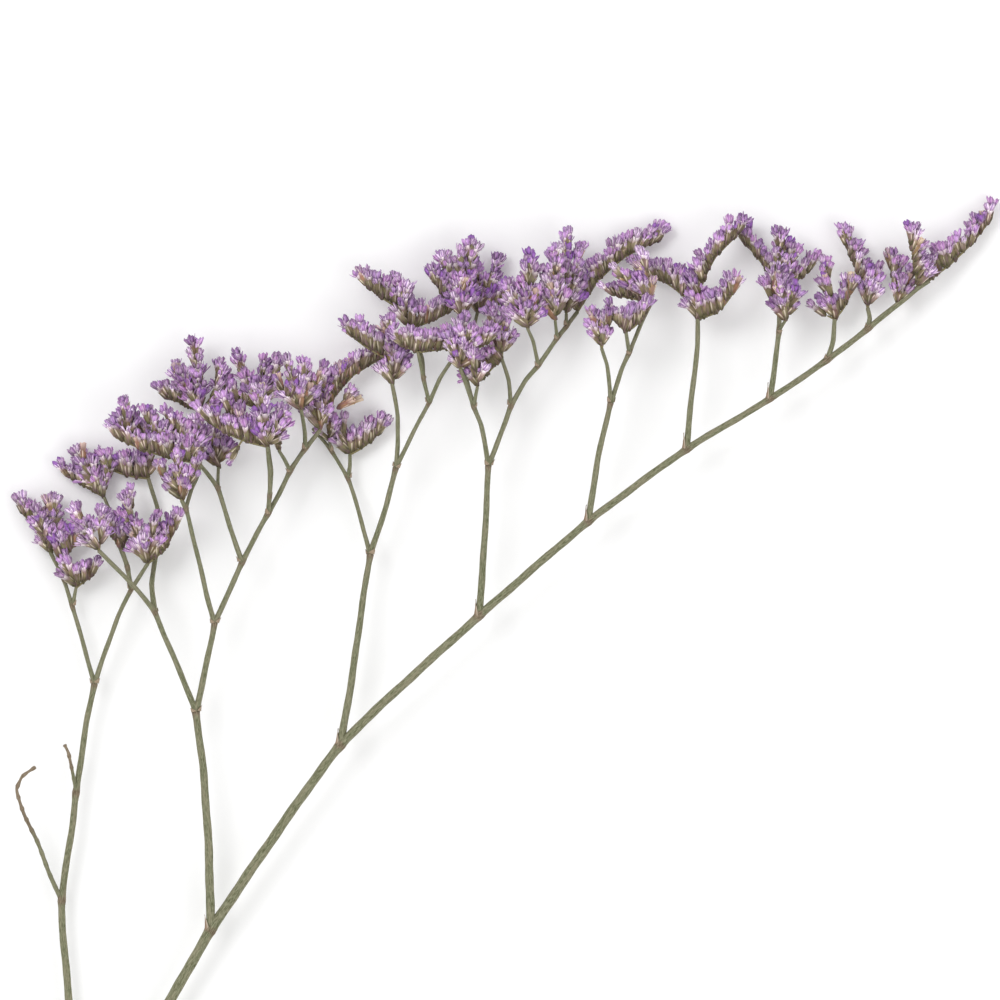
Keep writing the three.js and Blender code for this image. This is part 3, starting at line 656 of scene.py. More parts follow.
def add_petal(shape, angle, spread, height, width, rng):
    """Adds one rounded petal, a thin closed lens that stands on the cup's floor."""
    out = np.array([math.cos(angle), math.sin(angle), 0.0])
    side = np.array([-math.sin(angle), math.cos(angle), 0.0])

    def spot(reach, across, rise):
        crumple = rng.uniform(-0.027, 0.027, 3)
        return out * (reach + crumple[0]) + side * (across + crumple[1]) + UP * (rise + crumple[2])

    rim = [
        (spot(0.03, 0.0, 0.44), 0.0, 0.5),
        (spot(0.085 + 0.3 * spread, 0.85 * width, height - 0.27), 0.45, 1.0),
        (spot(0.10 + 0.8 * spread, 0.86 * width, height - 0.09), 0.85, 0.92),
        (spot(0.09 + spread, 0.0, height), 1.0, 0.5),
        (spot(0.10 + 0.8 * spread, -0.86 * width, height - 0.09), 0.85, 0.08),
        (spot(0.085 + 0.3 * spread, -0.85 * width, height - 0.27), 0.45, 0.0),
    ]
    middles = [(spot(0.115 + 0.5 * spread, 0.0, height - 0.19), 0.7, 0.5),
               (spot(0.08 + 0.5 * spread, 0.0, height - 0.19), 0.7, 0.5)]
    first = shape.add_spots([p for p, _, _ in rim + middles])
    charted = [(strip(PETAL_STRIP, u), 0.04 + 0.92 * v) for _, u, v in rim + middles]
    count = len(rim)
    for k in range(count):
        j = (k + 1) % count
        for corners in ((k, j, count), (j, k, count + 1)):
            shape.add_face([first + c for c in corners], [charted[c] for c in corners])


# How far a flower is open, the height of its cup, and how far its petals spread and rise.
FLOWER_LOOKS = {
    "open": (1.05, 0.65, 0.115, 0.95),
    "half": (1.0, 0.67, 0.055, 1.0),
    "bud": (0.74, 0.64, -0.015, 0.84),
    "dry": (0.95, 0.78, 0.0, 0.0),
}


def flower_mesh(name, kind, rng):
    """A flower: bracts, a pleated cup, and its petals if it still has them."""
    shape = Shape()
    open_out, top, spread, height = FLOWER_LOOKS[kind]
    rim = 0.128 * open_out
    belly = rng.uniform(0.92, 1.12)
    rings = [
        wavy_ring(0.0, 0.04),
        wavy_ring(0.13, 0.106 * belly, flute=0.14, waves=2, rng=rng, rough=0.06),
        wavy_ring(0.46, 0.122 * belly, wave=0.09, flute=0.14, waves=2, rng=rng, rough=0.12),
        wavy_ring(0.42, 0.088),
        wavy_ring(top, rim, wave=0.02, flute=0.10, waves=4, rng=rng, rough=0.10),
        wavy_ring(top - 0.02, rim * 0.82, wave=0.02, flute=0.10, waves=4),
        wavy_ring(0.48, 0.04),
    ]
    heights = [strip(BRACT_STRIP, share) for share in (0.0, 0.35, 1.0)]
    heights += [strip(CUP_STRIP, share) for share in (0.0, 1.0, 0.92, 0.3)]
    bend = rng.uniform(-0.04, 0.04, 2)
    for ring in rings:
        for k, (x, y, z) in enumerate(ring):
            ring[k] = (x + bend[0] * z * z, y + bend[1] * z * z, z)
    shape.tube(rings, heights, (0.04, 0.96))
    if kind != "dry":
        for petal in range(PETALS):
            angle = 2 * math.pi * (petal + 0.5) / PETALS + rng.uniform(-0.25, 0.25)
            rise = height + rng.uniform(-0.08, 0.03)
            add_petal(shape, angle, spread * rng.uniform(0.3, 1.7), rise,
                      rng.uniform(0.092, 0.125), rng)
    mesh = shape.mesh(name, scale=1.0)
    outwards(mesh)
    return mesh


# The kinds of single flower, and which of them have lost their petals.
FLOWER_KINDS = ["open", "open", "open", "half", "half", "half", "bud", "bud", "dry", "dry"]
DRY_KINDS = [8, 9]


def flower_collection():
    """The flowers that the heads repeat, numbered so that they sort in order."""
    kept = bpy.data.collections.new("single_flowers")
    for index, kind in enumerate(FLOWER_KINDS):
        rng = np.random.default_rng(SEED + FLOWER_SEEDS + index)
        name = f"single_flower_{index}"
        kept.objects.link(bpy.data.objects.new(name, flower_mesh(name, kind, rng)))
    return kept


# The named inputs of the flowers' node tree, and the kind of socket that each has.
TREE_INPUTS = {
    "Geometry": "Geometry", "Single Flowers": "Collection", "Spindles": "Object",
    "Flower Length": "Float", "Size Spread": "Float", "Turn Spread": "Float", "Seed": "Int",
    "Finish": "Material",
}


def flower_tree():
    """The node tree that sets a flower on every point and gives it its place on the chart."""
    tree = bpy.data.node_groups.new("flowers_on_a_head", "GeometryNodeTree")
    tree.is_modifier = True
    for name, kind in TREE_INPUTS.items():
        tree.interface.new_socket(name, in_out="INPUT", socket_type="NodeSocket" + kind)
    tree.interface.new_socket("Geometry", in_out="OUTPUT", socket_type="NodeSocketGeometry")
    n = Nodes(tree)
    given = n.add("NodeGroupInput").outputs
    flowers = n.add("GeometryNodeCollectionInfo", {
        0: given["Single Flowers"], "Separate Children": True, "Reset Children": True,
    })
    spread = n.random(given["Seed"], 1)
    larger = n.maths("MULTIPLY_ADD", spread, given["Size Spread"], 1.0)
    size = n.times(n.named("size", "FLOAT"), larger)
    size = n.times(size, given["Flower Length"])
    turn = n.add("FunctionNodeEulerToRotation", {0: n.named("facing", "FLOAT_VECTOR")})
    on_points = n.add("GeometryNodeInstanceOnPoints", {
        "Points": given["Geometry"],
        "Instance": flowers.outputs[0],
        "Instance Index": n.named("kind", "INT"),
        "Rotation": turn.outputs[0],
        "Scale": n.combine(size, size, size),
        "Pick Instance": True,
    })
    swing = [n.times(n.random(given["Seed"], 2 + k), given["Turn Spread"]) for k in range(2)]
    roll = n.times(n.random(given["Seed"], 4), math.pi)
    turned = n.add("GeometryNodeRotateInstances", {
        "Instances": on_points.outputs[0],
        "Rotation": n.add("FunctionNodeEulerToRotation",
                          {0: n.combine(swing[0], swing[1], roll)}).outputs[0],
    })
    # The chart of a single flower is one row high. Its head moves it to the row of its tone.
    real = n.add("GeometryNodeRealizeInstances", {0: turned.outputs[0]})
    split = n.add("ShaderNodeSeparateXYZ", {0: n.named(CHART, "FLOAT_VECTOR")})
    row = n.maths("ADD", n.named("row", "FLOAT"), split.outputs["Y"])
    up_chart = n.maths("DIVIDE", row, TONE_ROWS)
    charted = n.add("GeometryNodeStoreNamedAttribute", {
        "Geometry": real.outputs[0],
        "Name": CHART,
        "Value": n.combine(split.outputs["X"], up_chart, 0.0),
    }, data_type="FLOAT2", domain="CORNER")
    spindles = n.add("GeometryNodeObjectInfo", {"Object": given["Spindles"]})
    joined = n.add("GeometryNodeJoinGeometry")
    n.link(charted.outputs[0], joined.inputs[0])
    n.link(spindles.outputs["Geometry"], joined.inputs[0])
    place = n.add("GeometryNodeInputPosition").outputs[0]
    apart = n.add("ShaderNodeSeparateXYZ", {0: place})
    pressed = n.maths("MULTIPLY_ADD", apart.outputs["Z"], KEPT_DEPTH,
                      RESTING * MM * (1 - KEPT_DEPTH))
    lifted = n.maths("MAXIMUM", apart.outputs["Z"], pressed)
    resting = n.add("GeometryNodeSetPosition", {
        "Geometry": joined.outputs[0],
        "Position": n.combine(apart.outputs["X"], apart.outputs["Y"], lifted),
    })
    finished = n.add("GeometryNodeSetMaterial", {
        "Geometry": resting.outputs[0], "Material": given["Finish"],
    })
    out = n.add("NodeGroupOutput")
    n.link(finished.outputs[0], out.inputs[0])
    return tree


def spike_course(row, base, first):
    reach = np.array(row.reach) * STRETCH
    left = unit(np.cross(UP, unit(reach)))
    start = base + first * row.share
    return Course([start + reach * s + left * 4 * row.bow * s * (1 - s)
                   for s in (0, 1 / 3, 2 / 3, 1)], SPIKE_STEPS)


# The turns round a spike, in degrees, that its flowers take one after another.
ONE_SIDED_TURNS = (44, 8, -26)
ROUND_TURNS = (24, 150, 92, 4, 176, 58, 122)
# How far they lean out at its foot, and how much less at its tip, in degrees.
ONE_SIDED_LEAN, ROUND_LEAN = (74, 44), (56, 38)
# The smallest and largest flower, the flowers at a tip, and the share of dry ones without petals.
FLOWER_SIZES = (0.82, 1.14)
TIP_FLOWERS = 3
BARE_SHARE = 0.7


def tip_lean(k):
    """How far the flowers at the tip of a spike lean out, one after another."""
    return math.radians(4 + 10 * k)


def flower_rows(course, side, few, rng):
    """Where the flowers of a spike stand and point: (share, lean, turn round the spike)."""
    if few:
        return [(1 - 0.3 * k, tip_lean(k), rng.uniform(0, math.pi)) for k in range(few)]
    rows = []
    count = max(4, round(course.length / (sizes().flower_pitch / MM)))
    for k in range(count):
        share = (k + rng.uniform(0.1, 0.7)) / count
        if abs(side) >= ONE_SIDED:
            lean = ONE_SIDED_LEAN[0] - ONE_SIDED_LEAN[1] * share**1.5
            turn = ONE_SIDED_TURNS[k % len(ONE_SIDED_TURNS)] + rng.uniform(-12, 12)
            turn = turn if side > 0 else 180 - turn
        else:
            lean = ROUND_LEAN[0] - ROUND_LEAN[1] * share
            turn = ROUND_TURNS[k % len(ROUND_TURNS)] + rng.uniform(-14, 14)
            if side and rng.random() < abs(side):
                turn = 90 - math.copysign(rng.uniform(25, 90), side)
        rows.append((share, math.radians(lean + rng.uniform(-13, 13)), math.radians(turn)))
    for k in range(TIP_FLOWERS):
        rows.append((rng.uniform(0.94, 1.0), tip_lean(k), rng.uniform(0, 2 * math.pi)))
    return rows


# The values of a head's points: their kinds of attribute, and the fields that hold them.
POINT_VALUES = {
    "facing": ("FLOAT_VECTOR", "vector"), "size": ("FLOAT", "value"), "kind": ("INT", "value"),
    "row": ("FLOAT", "value"),
}


def head_points(index, row, shift):
    """The points of a head's flowers, with their values, and the spindles that carry them."""
    rng = np.random.default_rng(SEED + HEAD_SEEDS + index)
    base = stem_points(row.seat)[row.point]
    first = np.array(row.spikes[0].reach) * STRETCH
    spots, values = [], {name: [] for name in POINT_VALUES}
    spindles = Shape()
    lowest_tip = -shift[2] / MM + RESTING + FLOWER_CLEARANCE
    flower_length = sizes().flower_length / MM
    for spike_row in row.spikes:
        course = spike_course(spike_row, base, first)
        upright = 0.0 if spike_row.few else 0.75 if abs(spike_row.side) >= ONE_SIDED else 0.5
        for share, lean, turn in flower_rows(course, spike_row.side, spike_row.few, rng):
            place, along, left, over = course.frame(share)
            outer = math.cos(turn) * left + math.sin(turn) * over
            way = math.cos(lean) * along + math.sin(lean) * outer
            way = unit(way * LAID_FLAT + upright * FLOWERS_REACH_FOR)
            size = rng.uniform(*FLOWER_SIZES) * (1.0 - 0.15 * share)
            tip = place + way * size * flower_length
            if tip[2] < lowest_tip:
                way = unit(way + UP * (lowest_tip - tip[2]) / flower_length)
            weights, kinds = TONES[row.tone]
            family = rng.choice(len(TONE_FAMILIES), p=weights)
            tones = TONE_FAMILIES[family]
            if family == DRY_FAMILY and rng.random() < BARE_SHARE:
                kinds = DRY_KINDS
            foot = place - outer * 0.25 + way * rng.uniform(-0.5, 0.6)
            spots.append(foot * MM + shift)
            facing = Vector(way).to_track_quat("Z", "Y").to_euler()
            values["facing"].append(tuple(facing))
            values["size"].append(size)
            values["kind"].append(int(rng.choice(kinds)))
            values["row"].append(float(rng.integers(tones.start, tones.stop)))
        rings, heights = [], []
        for share in (i / (AXIS_RINGS - 1) for i in range(AXIS_RINGS)):
            place, _, left, over = course.frame(share)
            radius = AXIS_RADIUS * (1 - 0.4 * share)
            rings.append([place + radius * (math.cos(a) * left + math.sin(a) * over)
                          for a in np.linspace(0, 2 * math.pi, AXIS_SIDES, endpoint=False)])
            heights.append(strip(AXIS_STRIP, share))
        spindles.tube(rings, heights, (0.005, 0.055))
    return spots, values, spindles


def head_piece(index, row, tree, flowers, material, shift):
    """A head's plain mesh, made by the node tree from its points and spindles."""
    name = f"flower_head_{index + 1:02d}"
    spots, values, spindles = head_points(index, row, shift)
    mesh = bpy.data.meshes.new(name + "_points")
    mesh.from_pydata([tuple(p) for p in spots], [], [])
    for key, (kind, field) in POINT_VALUES.items():
        kept = mesh.attributes.new(key, kind, "POINT")
        kept.data.foreach_set(field, np.array(values[key]).ravel())
    points = shown(name + "_points", mesh)
    spindle_mesh = spindles.mesh(name + "_spindles", shift=shift)
    outwards(spindle_mesh)
    spindle = shown(name + "_spindles", spindle_mesh)
    maker = points.modifiers.new("flowers", "NODES")
    maker.node_group = tree
    given = {
        "Single Flowers": flowers, "Spindles": spindle, "Flower Length": sizes().flower_length,
        "Size Spread": sizes().size_spread, "Turn Spread": sizes().turn_spread,
        "Seed": SEED + index, "Finish": material,
    }
    for item in tree.interface.items_tree:
        if item.in_out == "INPUT" and item.name in given:
            maker[item.identifier] = given[item.name]
    bpy.context.view_layer.update()
    graph = bpy.context.evaluated_depsgraph_get()
    real = bpy.data.meshes.new_from_object(points.evaluated_get(graph), depsgraph=graph,
                                           preserve_all_data_layers=True)
    real.name = name + "_look"
    for extra in POINT_VALUES:
        if extra in real.attributes:
            real.attributes.remove(real.attributes[extra])
    for done in (points, spindle):
        bpy.data.objects.remove(done)
    if not real.polygons:
        raise RuntimeError(f"{name} has no flowers")
    return shown(name + "_look", real)


# Materials


class Nodes:
    """Adds nodes to a tree and links them, with few words."""

    def __init__(self, tree):
        self.tree = tree

    def link(self, a, b):
        self.tree.links.new(a, b)

    def add(self, kind, inputs=None, **settings):
        node = self.tree.nodes.new(kind)
        for key, value in settings.items():
            setattr(node, key, value)
        for key, value in (inputs or {}).items():
            if isinstance(value, bpy.types.NodeSocket):
                self.link(value, node.inputs[key])
            else:
                node.inputs[key].default_value = value
        return node

    def maths(self, operation, *terms):
        given = dict(enumerate(terms))
        return self.add("ShaderNodeMath", given, operation=operation).outputs[0]

    def times(self, a, b):
        return self.maths("MULTIPLY", a, b)

    def spread(self, value, low, high, to_low=0.0, to_high=1.0):
        """The value's place between low and high, eased, as a number from to_low to to_high."""
        return self.add("ShaderNodeMapRange", {0: value, 1: low, 2: high, 3: to_low, 4: to_high},
                        interpolation_type="SMOOTHSTEP").outputs[0]

    def mix(self, share, a, b):
        return self.add("ShaderNodeMix", {0: share, 6: a, 7: b}, data_type="RGBA").outputs[2]

    def ramp(self, share, stops):
        node = self.add("ShaderNodeValToRGB", {0: share})
        kept = node.color_ramp.elements
        while len(kept) < len(stops):
            kept.new(0.5)
        for element, (place, colour) in zip(kept, stops, strict=True):
            element.position = place
            element.color = (*colour, 1.0)
        return node.outputs[0]

    def combine(self, x, y, z):
        return self.add("ShaderNodeCombineXYZ", {0: x, 1: y, 2: z}).outputs[0]

    def named(self, name, kind):
        return self.add("GeometryNodeInputNamedAttribute", {0: name}, data_type=kind).outputs[0]

    def random(self, seed, offset):
        """A number from -1 to 1 for each instance."""
        given = {2: -1.0, 3: 1.0, "Seed": self.maths("ADD", seed, 17 * offset)}
        return self.add("FunctionNodeRandomValue", given, data_type="FLOAT").outputs[1]


def fibre_group():
    """Fine lengthwise fibres and broad blotches, as masks, from a vector whose X runs along."""
    tree = bpy.data.node_groups.get("fibre_streaks")
    if tree:
        return tree
    tree = bpy.data.node_groups.new("fibre_streaks", "ShaderNodeTree")
    face = tree.interface
    face.new_socket("Vector", in_out="INPUT", socket_type="NodeSocketVector")
    scale = face.new_socket("Scale", in_out="INPUT", socket_type="NodeSocketFloat")
    scale.default_value = 6.0
    face.new_socket("Streaks", in_out="OUTPUT", socket_type="NodeSocketFloat")
    face.new_socket("Blotches", in_out="OUTPUT", socket_type="NodeSocketFloat")
    n = Nodes(tree)
    given = n.add("NodeGroupInput").outputs
    fine = n.add("ShaderNodeTexNoise", {"Vector": given["Vector"],
                                        "Scale": given["Scale"], "Detail": 3.0})
    broad = n.add("ShaderNodeTexNoise", {"Vector": given["Vector"], "Scale": 1.7,
                                         "Detail": 4.0})
    out = n.add("NodeGroupOutput")
    n.link(n.spread(fine.outputs["Fac"], 0.34, 0.66), out.inputs["Streaks"])
    n.link(n.spread(broad.outputs["Fac"], 0.38, 0.68), out.inputs["Blotches"])
    return tree


def material(name, roughness):
    made = bpy.data.materials.new(name)
    made.use_nodes = True
    shader = made.node_tree.nodes["Principled BSDF"]
    shader.inputs["Roughness"].default_value = roughness
    shader.inputs["Specular IOR Level"].default_value = 0.3
    return made, Nodes(made.node_tree), shader


def dress(n, shader, colour, streaks, rough, smooth, relief=0.0):
    """Gives a shader its colour, and a roughness and a relief that follow the streaks."""
    n.link(colour, shader.inputs["Base Color"])
    n.link(n.spread(streaks, 0.0, 1.0, rough, smooth), shader.inputs["Roughness"])
    if relief:
        bump = n.add("ShaderNodeBump", {"Strength": relief, "Distance": 0.0002, "Height": streaks})
        n.link(bump.outputs[0], shader.inputs["Normal"])


def fibres(n, vector, scale):
    node = n.add("ShaderNodeGroup", node_tree=fibre_group())
    n.link(vector, node.inputs["Vector"])
    node.inputs["Scale"].default_value = scale
    return node.outputs["Streaks"], node.outputs["Blotches"]


# Pairs of colours, darker and lighter, for the two ends of the streaks.
OLD_BARK = (0.11, 0.082, 0.050, 1), (0.27, 0.215, 0.145, 1)
PAPERY_SCALE = (0.24, 0.165, 0.105, 1), (0.47, 0.38, 0.28, 1)
STEM_PITH = (0.42, 0.36, 0.24, 1), (0.62, 0.56, 0.42, 1)
LEAF_TAN = (0.18, 0.115, 0.07, 1), (0.38, 0.28, 0.19, 1)
LEAF_EDGE = (0.42, 0.34, 0.25, 1), (0.60, 0.52, 0.42, 1)
LEAF_BLOTCH = (0.22, 0.12, 0.075, 1)


def stem_material():
    """Dull grey-green skin with fine fibres, brown and tan where it is old or papery."""
    made, n, shader = material("dry_stem_skin", 0.72)
    s = sizes()
    grain = n.add("ShaderNodeAttribute", attribute_name="grain").outputs["Vector"]
    browning = n.add("ShaderNodeAttribute", attribute_name="browning").outputs["Fac"]
    streaks, blotches = fibres(n, grain, 7.0)
    green = n.mix(streaks, (*s.stem_shade, 1), (*s.stem_light, 1))
    worn = n.mix(n.times(blotches, 0.55), green, (*s.stem_worn, 1))
    aged = n.maths("ADD", browning, n.times(blotches, 0.25))
    skin = n.mix(n.spread(aged, 0.35, 1.0), worn, n.mix(streaks, *OLD_BARK))
    skin = n.mix(n.spread(browning, 1.05, 1.6), skin, n.mix(streaks, *PAPERY_SCALE))
    skin = n.mix(n.spread(browning, -0.2, -0.8), skin, n.mix(streaks, *STEM_PITH))
    dress(n, shader, skin, streaks, 0.82, 0.62, relief=0.35)
    return made


def leaf_material():
    """Thin dry scale leaf: tan, with fine fibres and paler edges."""
    made, n, shader = material("dry_scale_leaf", 0.8)
    grain = n.add("ShaderNodeAttribute", attribute_name="grain").outputs["Vector"]
    streaks, blotches = fibres(n, grain, 5.0)
    split = n.add("ShaderNodeSeparateXYZ", {0: grain})
    edge = n.spread(n.maths("ABSOLUTE", split.outputs["Y"]), 0.6, 1.5)
    tan = n.mix(n.times(blotches, 0.5), n.mix(streaks, *LEAF_TAN), LEAF_BLOTCH)
    colour = n.mix(edge, tan, n.mix(streaks, *LEAF_EDGE))
    dress(n, shader, colour, streaks, 0.88, 0.7, relief=0.4)
    return made


# The colours of a flower's parts, at their foot and at their end, for each family of tones.
PART_COLOURS_AND_FOOT_SHADE = {
    "petal": [
        [(0.44, 0.28, 0.42), (0.56, 0.42, 0.51), (0.21, 0.09, 0.24), (0.36, 0.24, 0.20)],
        [(0.61, 0.36, 0.65), (0.86, 0.71, 0.85), (0.32, 0.12, 0.42), (0.66, 0.52, 0.47)],
    ],
    # The cups' foot colours, which also colour the cup's hollow, are partly their own colour and
    # partly painted shade in the hollow and between the flowers.
    "cup": [
        [(0.26, 0.175, 0.15), (0.42, 0.32, 0.28), (0.15, 0.085, 0.085), (0.30, 0.17, 0.10)],
        [(0.80, 0.68, 0.73), (0.90, 0.80, 0.83), (0.48, 0.31, 0.47), (0.64, 0.50, 0.39)],
    ],
    # The bracts' near-black foot colours are partly their own dark olive and partly painted shade
    # of the crevices between the flowers.
    "bract": [
        [(0.036, 0.030, 0.017), (0.07, 0.058, 0.034), (0.028, 0.021, 0.014),
         (0.13, 0.07, 0.037)],
        [(0.20, 0.162, 0.095), (0.29, 0.24, 0.155), (0.13, 0.098, 0.062), (0.35, 0.20, 0.11)],
    ],
}
# The place of each family on a ramp of the tones.
FAMILY_STOPS = [0.17, 0.47, 0.67, 0.90]
# A petal's pale rim is partly its papery edge and partly painted highlight; its dark middle line
# is partly a vein and partly painted shade in its crease.
PETAL_RIM_AND_HIGHLIGHT, PETAL_VEIN_AND_CREASE_SHADE = (1.0, 0.92, 0.99, 1), (0.28, 0.10, 0.38, 1)
PETAL_BLOTCH = (0.15, 0.06, 0.19, 1)
CUP_RIB = (0.20, 0.09, 0.11, 1)
BRACT_STREAK, BRACT_BLOTCH = (0.24, 0.20, 0.07, 1), (0.17, 0.09, 0.12, 1)
BRACT_MARGIN = (0.72, 0.62, 0.50, 1)
STALK = (0.17, 0.14, 0.07, 1)


def flower_material():
    """Papery flowers, coloured by their place on the chart."""
    made, n, shader = material("papery_flower", 0.7)
    chart = n.add("ShaderNodeUVMap", uv_map=CHART).outputs[0]
    split = n.add("ShaderNodeSeparateXYZ", {0: chart})
    along, up = split.outputs["X"], split.outputs["Y"]
    rows = n.times(up, float(TONE_ROWS))
    row = n.maths("FLOOR", rows)
    around = n.maths("FRACT", rows)
    tone = n.maths("DIVIDE", row, TONE_ROWS - 1.0)
    grain = n.combine(n.times(along, 3.0), n.times(around, 4.0), row)
    streaks, blotches = fibres(n, grain, 5.0)

    # A part runs from its foot colour to its end colour; the darker foot of the bracts and cups is
    # partly painted shade.
    def part(name, edges):
        low, high = [n.ramp(tone, list(zip(FAMILY_STOPS, colours, strict=True)))
                     for colours in PART_COLOURS_AND_FOOT_SHADE[name]]
        return n.mix(n.spread(along, *edges), low, high)

    petal = part("petal", PETAL_STRIP)
    cup = part("cup", CUP_STRIP)
    bract = part("bract", (strip(BRACT_STRIP, 0.3), BRACT_STRIP[1]))
    from_petal_middle = n.maths("ABSOLUTE", n.maths("SUBTRACT", around, 0.5))
    # Pale rims: partly the papery edge, partly painted highlight.
    petal = n.mix(n.spread(from_petal_middle, 0.28, 0.5, 0.0, 0.75), petal, PETAL_RIM_AND_HIGHLIGHT)
    # A darker middle line: partly a vein, partly painted shade in the petal's crease.
    petal = n.mix(n.spread(from_petal_middle, 0.16, 0.0, 0.0, 0.65), petal, PETAL_VEIN_AND_CREASE_SHADE)
    petal = n.mix(n.times(n.spread(blotches, 0.5, 0.85), 0.8), petal, PETAL_BLOTCH)
    rib = n.maths("ABSOLUTE", n.maths("SINE", n.times(around, 5 * math.pi)))
    cup = n.mix(n.spread(rib, 0.45, 0.0), cup, n.mix(0.7, cup, CUP_RIB))
    bract = n.mix(n.times(streaks, 0.3), bract, BRACT_STREAK)
    fold = n.maths("ABSOLUTE", n.maths("SUBTRACT", n.maths("FRACT", n.maths(
        "MULTIPLY_ADD", around, 3.0, n.times(row, 0.37))), 0.5))
    margin = n.times(n.spread(fold, 0.36, 0.5), n.spread(along, 0.16, 0.31))
    bract = n.mix(n.times(n.spread(blotches, 0.4, 0.8), 0.5), bract, BRACT_BLOTCH)
    bract = n.mix(n.times(margin, 0.9), bract, BRACT_MARGIN)
    colour = n.mix(n.maths("GREATER_THAN", along, 0.08), STALK, bract)
    colour = n.mix(n.maths("GREATER_THAN", along, 0.34), colour, cup)
    colour = n.mix(n.maths("GREATER_THAN", along, 0.64), colour, petal)

    def by_row(seed, spread, least):
        """A value that differs from row to row of the chart."""
        noise = n.add("ShaderNodeTexWhiteNoise", {"W": seed}, noise_dimensions="1D")
        return n.maths("MULTIPLY_ADD", noise.outputs["Value"], spread, least)

    value = n.maths("ADD", by_row(row, 0.60, 0.79), n.times(streaks, 0.12))
    shifted = n.add("ShaderNodeHueSaturation", {
        "Hue": by_row(n.maths("ADD", row, 50.0), 0.04, 0.48), "Value": value, "Color": colour,
    })
    dress(n, shader, shifted.outputs[0], streaks, 0.8, 0.55)
    return made


# Sizes and colours that a user may change


def sizes():
    return bpy.context.scene.statice_spray


def colour_property(name, description, default):
    return FloatVectorProperty(name=name, description=description, default=default,
                               subtype="COLOR", min=0.0, max=1.0)


def share_property(name, description, default, most):
    return FloatProperty(name=name, description=description, default=default, min=0.0, max=most,
                         subtype="FACTOR")


def measure_property(name, description, default, least, most, unit):
    return FloatProperty(name=name, description=description, default=default, min=least, max=most,
                         unit=unit)


class StaticeSpraySettings(PropertyGroup):
    """Sizes and colours of the spray."""

    fork_swelling: share_property(
        "Fork Swelling", "How much thicker a stem is at its forks, as a share", 0.24, 1.0)
    ridge_depth: share_property(
        "Ridge Depth", "Depth of a stem's ridges, as a share of its radius", 0.06, 0.3)
    scale_wrap: measure_property(
        "Scale Wrap", "How far round the stem a papery scale reaches", 2.5, 0.5, 5.0, "ROTATION")
    flower_length: measure_property(
        "Flower Length", "Length of a single flower with its bracts", 0.0074, 0.003, 0.012,
        "LENGTH")
    flower_pitch: measure_property(
        "Flower Pitch", "Distance between flowers along a spike", 0.0008, 0.0004, 0.004, "LENGTH")
    size_spread: share_property(
        "Size Spread", "How much the flowers differ in size, as a share", 0.08, 0.5)
    turn_spread: measure_property(
        "Turn Spread", "How far a flower turns from its row", 0.17, 0.0, 1.0, "ROTATION")
    stem_shade: colour_property("Stem Shade", "Darker fibres of the stem", (0.085, 0.092, 0.040))
    stem_light: colour_property("Stem Light", "Lighter fibres of the stem", (0.26, 0.265, 0.165))
    stem_worn: colour_property("Stem Worn", "Worn patches of the stem", (0.31, 0.28, 0.19))
    floor_colour: colour_property("Floor", "The pale floor", (0.95, 0.95, 0.95))


class STATICE_OT_stems(Operator):
    """Make the main stem and its side branches"""

    bl_idname = "statice.stems"
    bl_label = "Make Stems"

    def execute(self, context):
        finish = stem_material()
        for node, piece in stem_pieces(finish, place_in_frame()):
            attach(piece, "root")
            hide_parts(node)
        return {"FINISHED"}


class STATICE_OT_scale_leaves(Operator):
    """Make the dry scale leaves at the main forks"""

    bl_idname = "statice.scale_leaves"
    bl_label = "Make Scale Leaves"

    def execute(self, context):
        finish = leaf_material()
        shift = place_in_frame()
        for index, name in enumerate(LEAFED_BRANCHES):
            node = f"scale_leaf_{index + 1}"
            shape = Shape()
            rng = np.random.default_rng(SEED + LEAF_SEEDS + index)
            add_scale(shape, name, LEAF_LENGTH, (0.03, 0.97), rng)
            piece = finished_piece(shape, node, finish, shift)
            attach(piece, "root")
            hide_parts(node)
        return {"FINISHED"}


class STATICE_OT_flower_heads(Operator):
    """Make the flower heads, each with its many single flowers"""

    bl_idname = "statice.flower_heads"
    bl_label = "Make Flower Heads"

    def execute(self, context):
        finish = flower_material()
        shift = place_in_frame()
        flowers = flower_collection()
        tree = flower_tree()
        for index, row in enumerate(HEADS):
            piece = head_piece(index, row, tree, flowers, finish, shift)
            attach(piece, "root")
            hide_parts(f"flower_head_{index + 1:02d}")
        for single in list(flowers.objects):
            bpy.data.objects.remove(single)
        bpy.data.collections.remove(flowers)
        return {"FINISHED"}


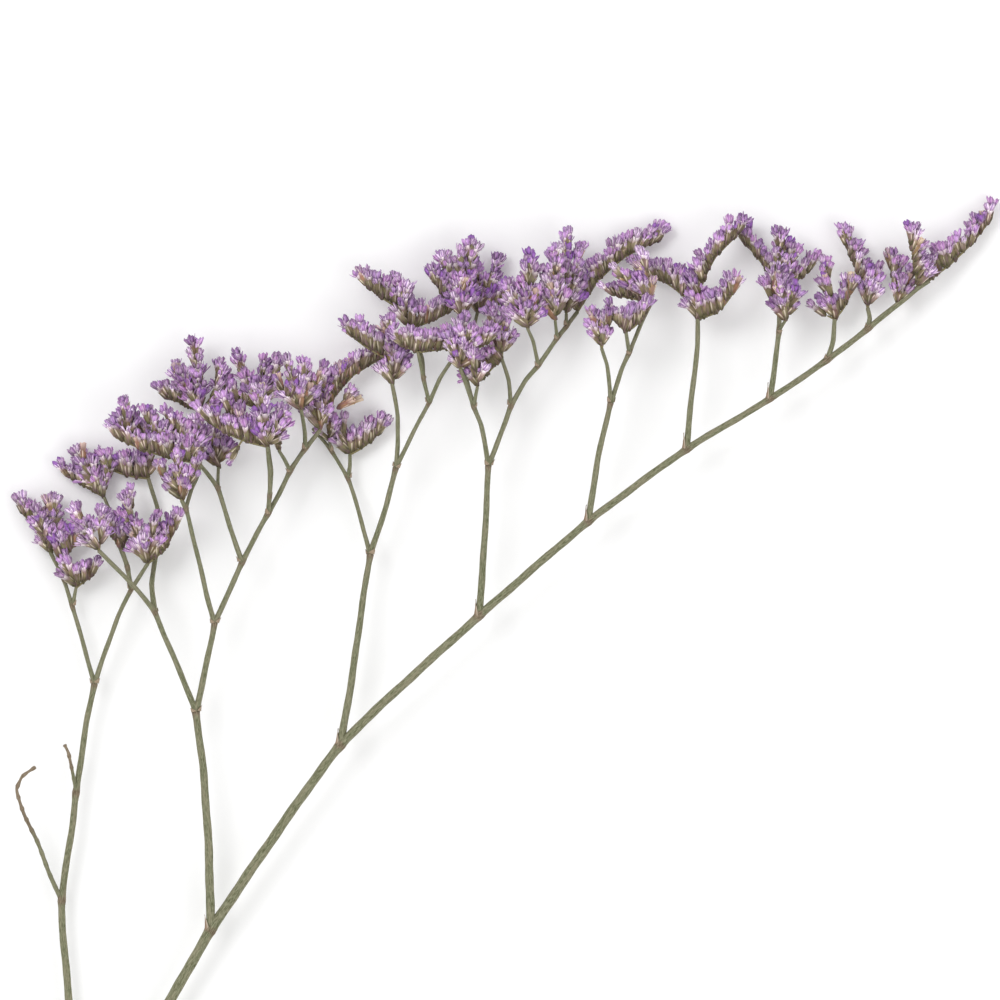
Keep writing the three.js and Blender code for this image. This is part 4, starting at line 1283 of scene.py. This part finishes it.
class STATICE_OT_stage(Operator):
    """Make the floor, the lights and the camera"""

    bl_idname = "statice.stage"
    bl_label = "Make Stage"

    def execute(self, context):
        scene = context.scene
        floor_mesh = bpy.data.meshes.new("floor")
        corners = [(x * FLOOR_REACH, y * FLOOR_REACH, 0)
                   for x, y in ((-1, -1), (1, -1), (1, 1), (-1, 1))]
        floor_mesh.from_pydata(corners, [], [(0, 1, 2, 3)])
        paint, _, shader = material("pale_floor", 0.9)
        shader.inputs["Base Color"].default_value = (*sizes().floor_colour, 1)
        floor_mesh.materials.append(paint)
        shown("floor", floor_mesh)
        world = bpy.data.worlds.new("studio")
        world.use_nodes = True
        world.node_tree.nodes["Background"].inputs[0].default_value = (1, 1, 1, 1)
        world.node_tree.nodes["Background"].inputs[1].default_value = SKY_STRENGTH
        scene.world = world
        for name, place, width, power in LIGHTS:
            light = bpy.data.lights.new(name, "AREA")
            light.shape, light.size, light.energy = "DISK", width, power
            lamp = bpy.data.objects.new(name, light)
            lamp.location = place
            lamp.rotation_mode = "QUATERNION"
            lamp.rotation_quaternion = (-Vector(place)).to_track_quat("-Z", "Y")
            scene.collection.objects.link(lamp)
        eye = bpy.data.cameras.new("camera")
        eye.lens, eye.sensor_width = LENS, SENSOR
        eye.clip_start, eye.clip_end = 0.01, 50.0
        viewer = bpy.data.objects.new("camera", eye)
        centre = place_in_frame() + np.array(VIEW_CENTRE) * MM
        distance = VIEW_WIDTH * MM * eye.lens / eye.sensor_width
        viewer.location = (centre[0], centre[1], centre[2] + distance)
        scene.collection.objects.link(viewer)
        scene.camera = viewer
        scene.view_settings.view_transform = "Standard"
        return {"FINISHED"}


OPERATORS = [STATICE_OT_stage, STATICE_OT_stems, STATICE_OT_scale_leaves, STATICE_OT_flower_heads]


class STATICE_PT_panel(Panel):
    """The spray's settings and makers"""

    bl_idname = "STATICE_PT_panel"
    bl_label = "Statice Spray"
    bl_space_type = "VIEW_3D"
    bl_region_type = "UI"
    bl_category = "Statice"

    def draw(self, context):
        for name in StaticeSpraySettings.__annotations__:
            self.layout.prop(context.scene.statice_spray, name)
        for operator in OPERATORS:
            self.layout.operator(operator.bl_idname)


CLASSES = [StaticeSpraySettings, *OPERATORS, STATICE_PT_panel]


def register():
    for each in CLASSES:
        bpy.utils.register_class(each)
    bpy.types.Scene.statice_spray = PointerProperty(type=StaticeSpraySettings)


def unregister():
    del bpy.types.Scene.statice_spray
    for each in reversed(CLASSES):
        bpy.utils.unregister_class(each)


def main():
    register()
    bpy.ops.statice.stage()
    bpy.ops.statice.stems()
    bpy.ops.statice.scale_leaves()
    bpy.ops.statice.flower_heads()


if __name__ == "__main__":
    main()
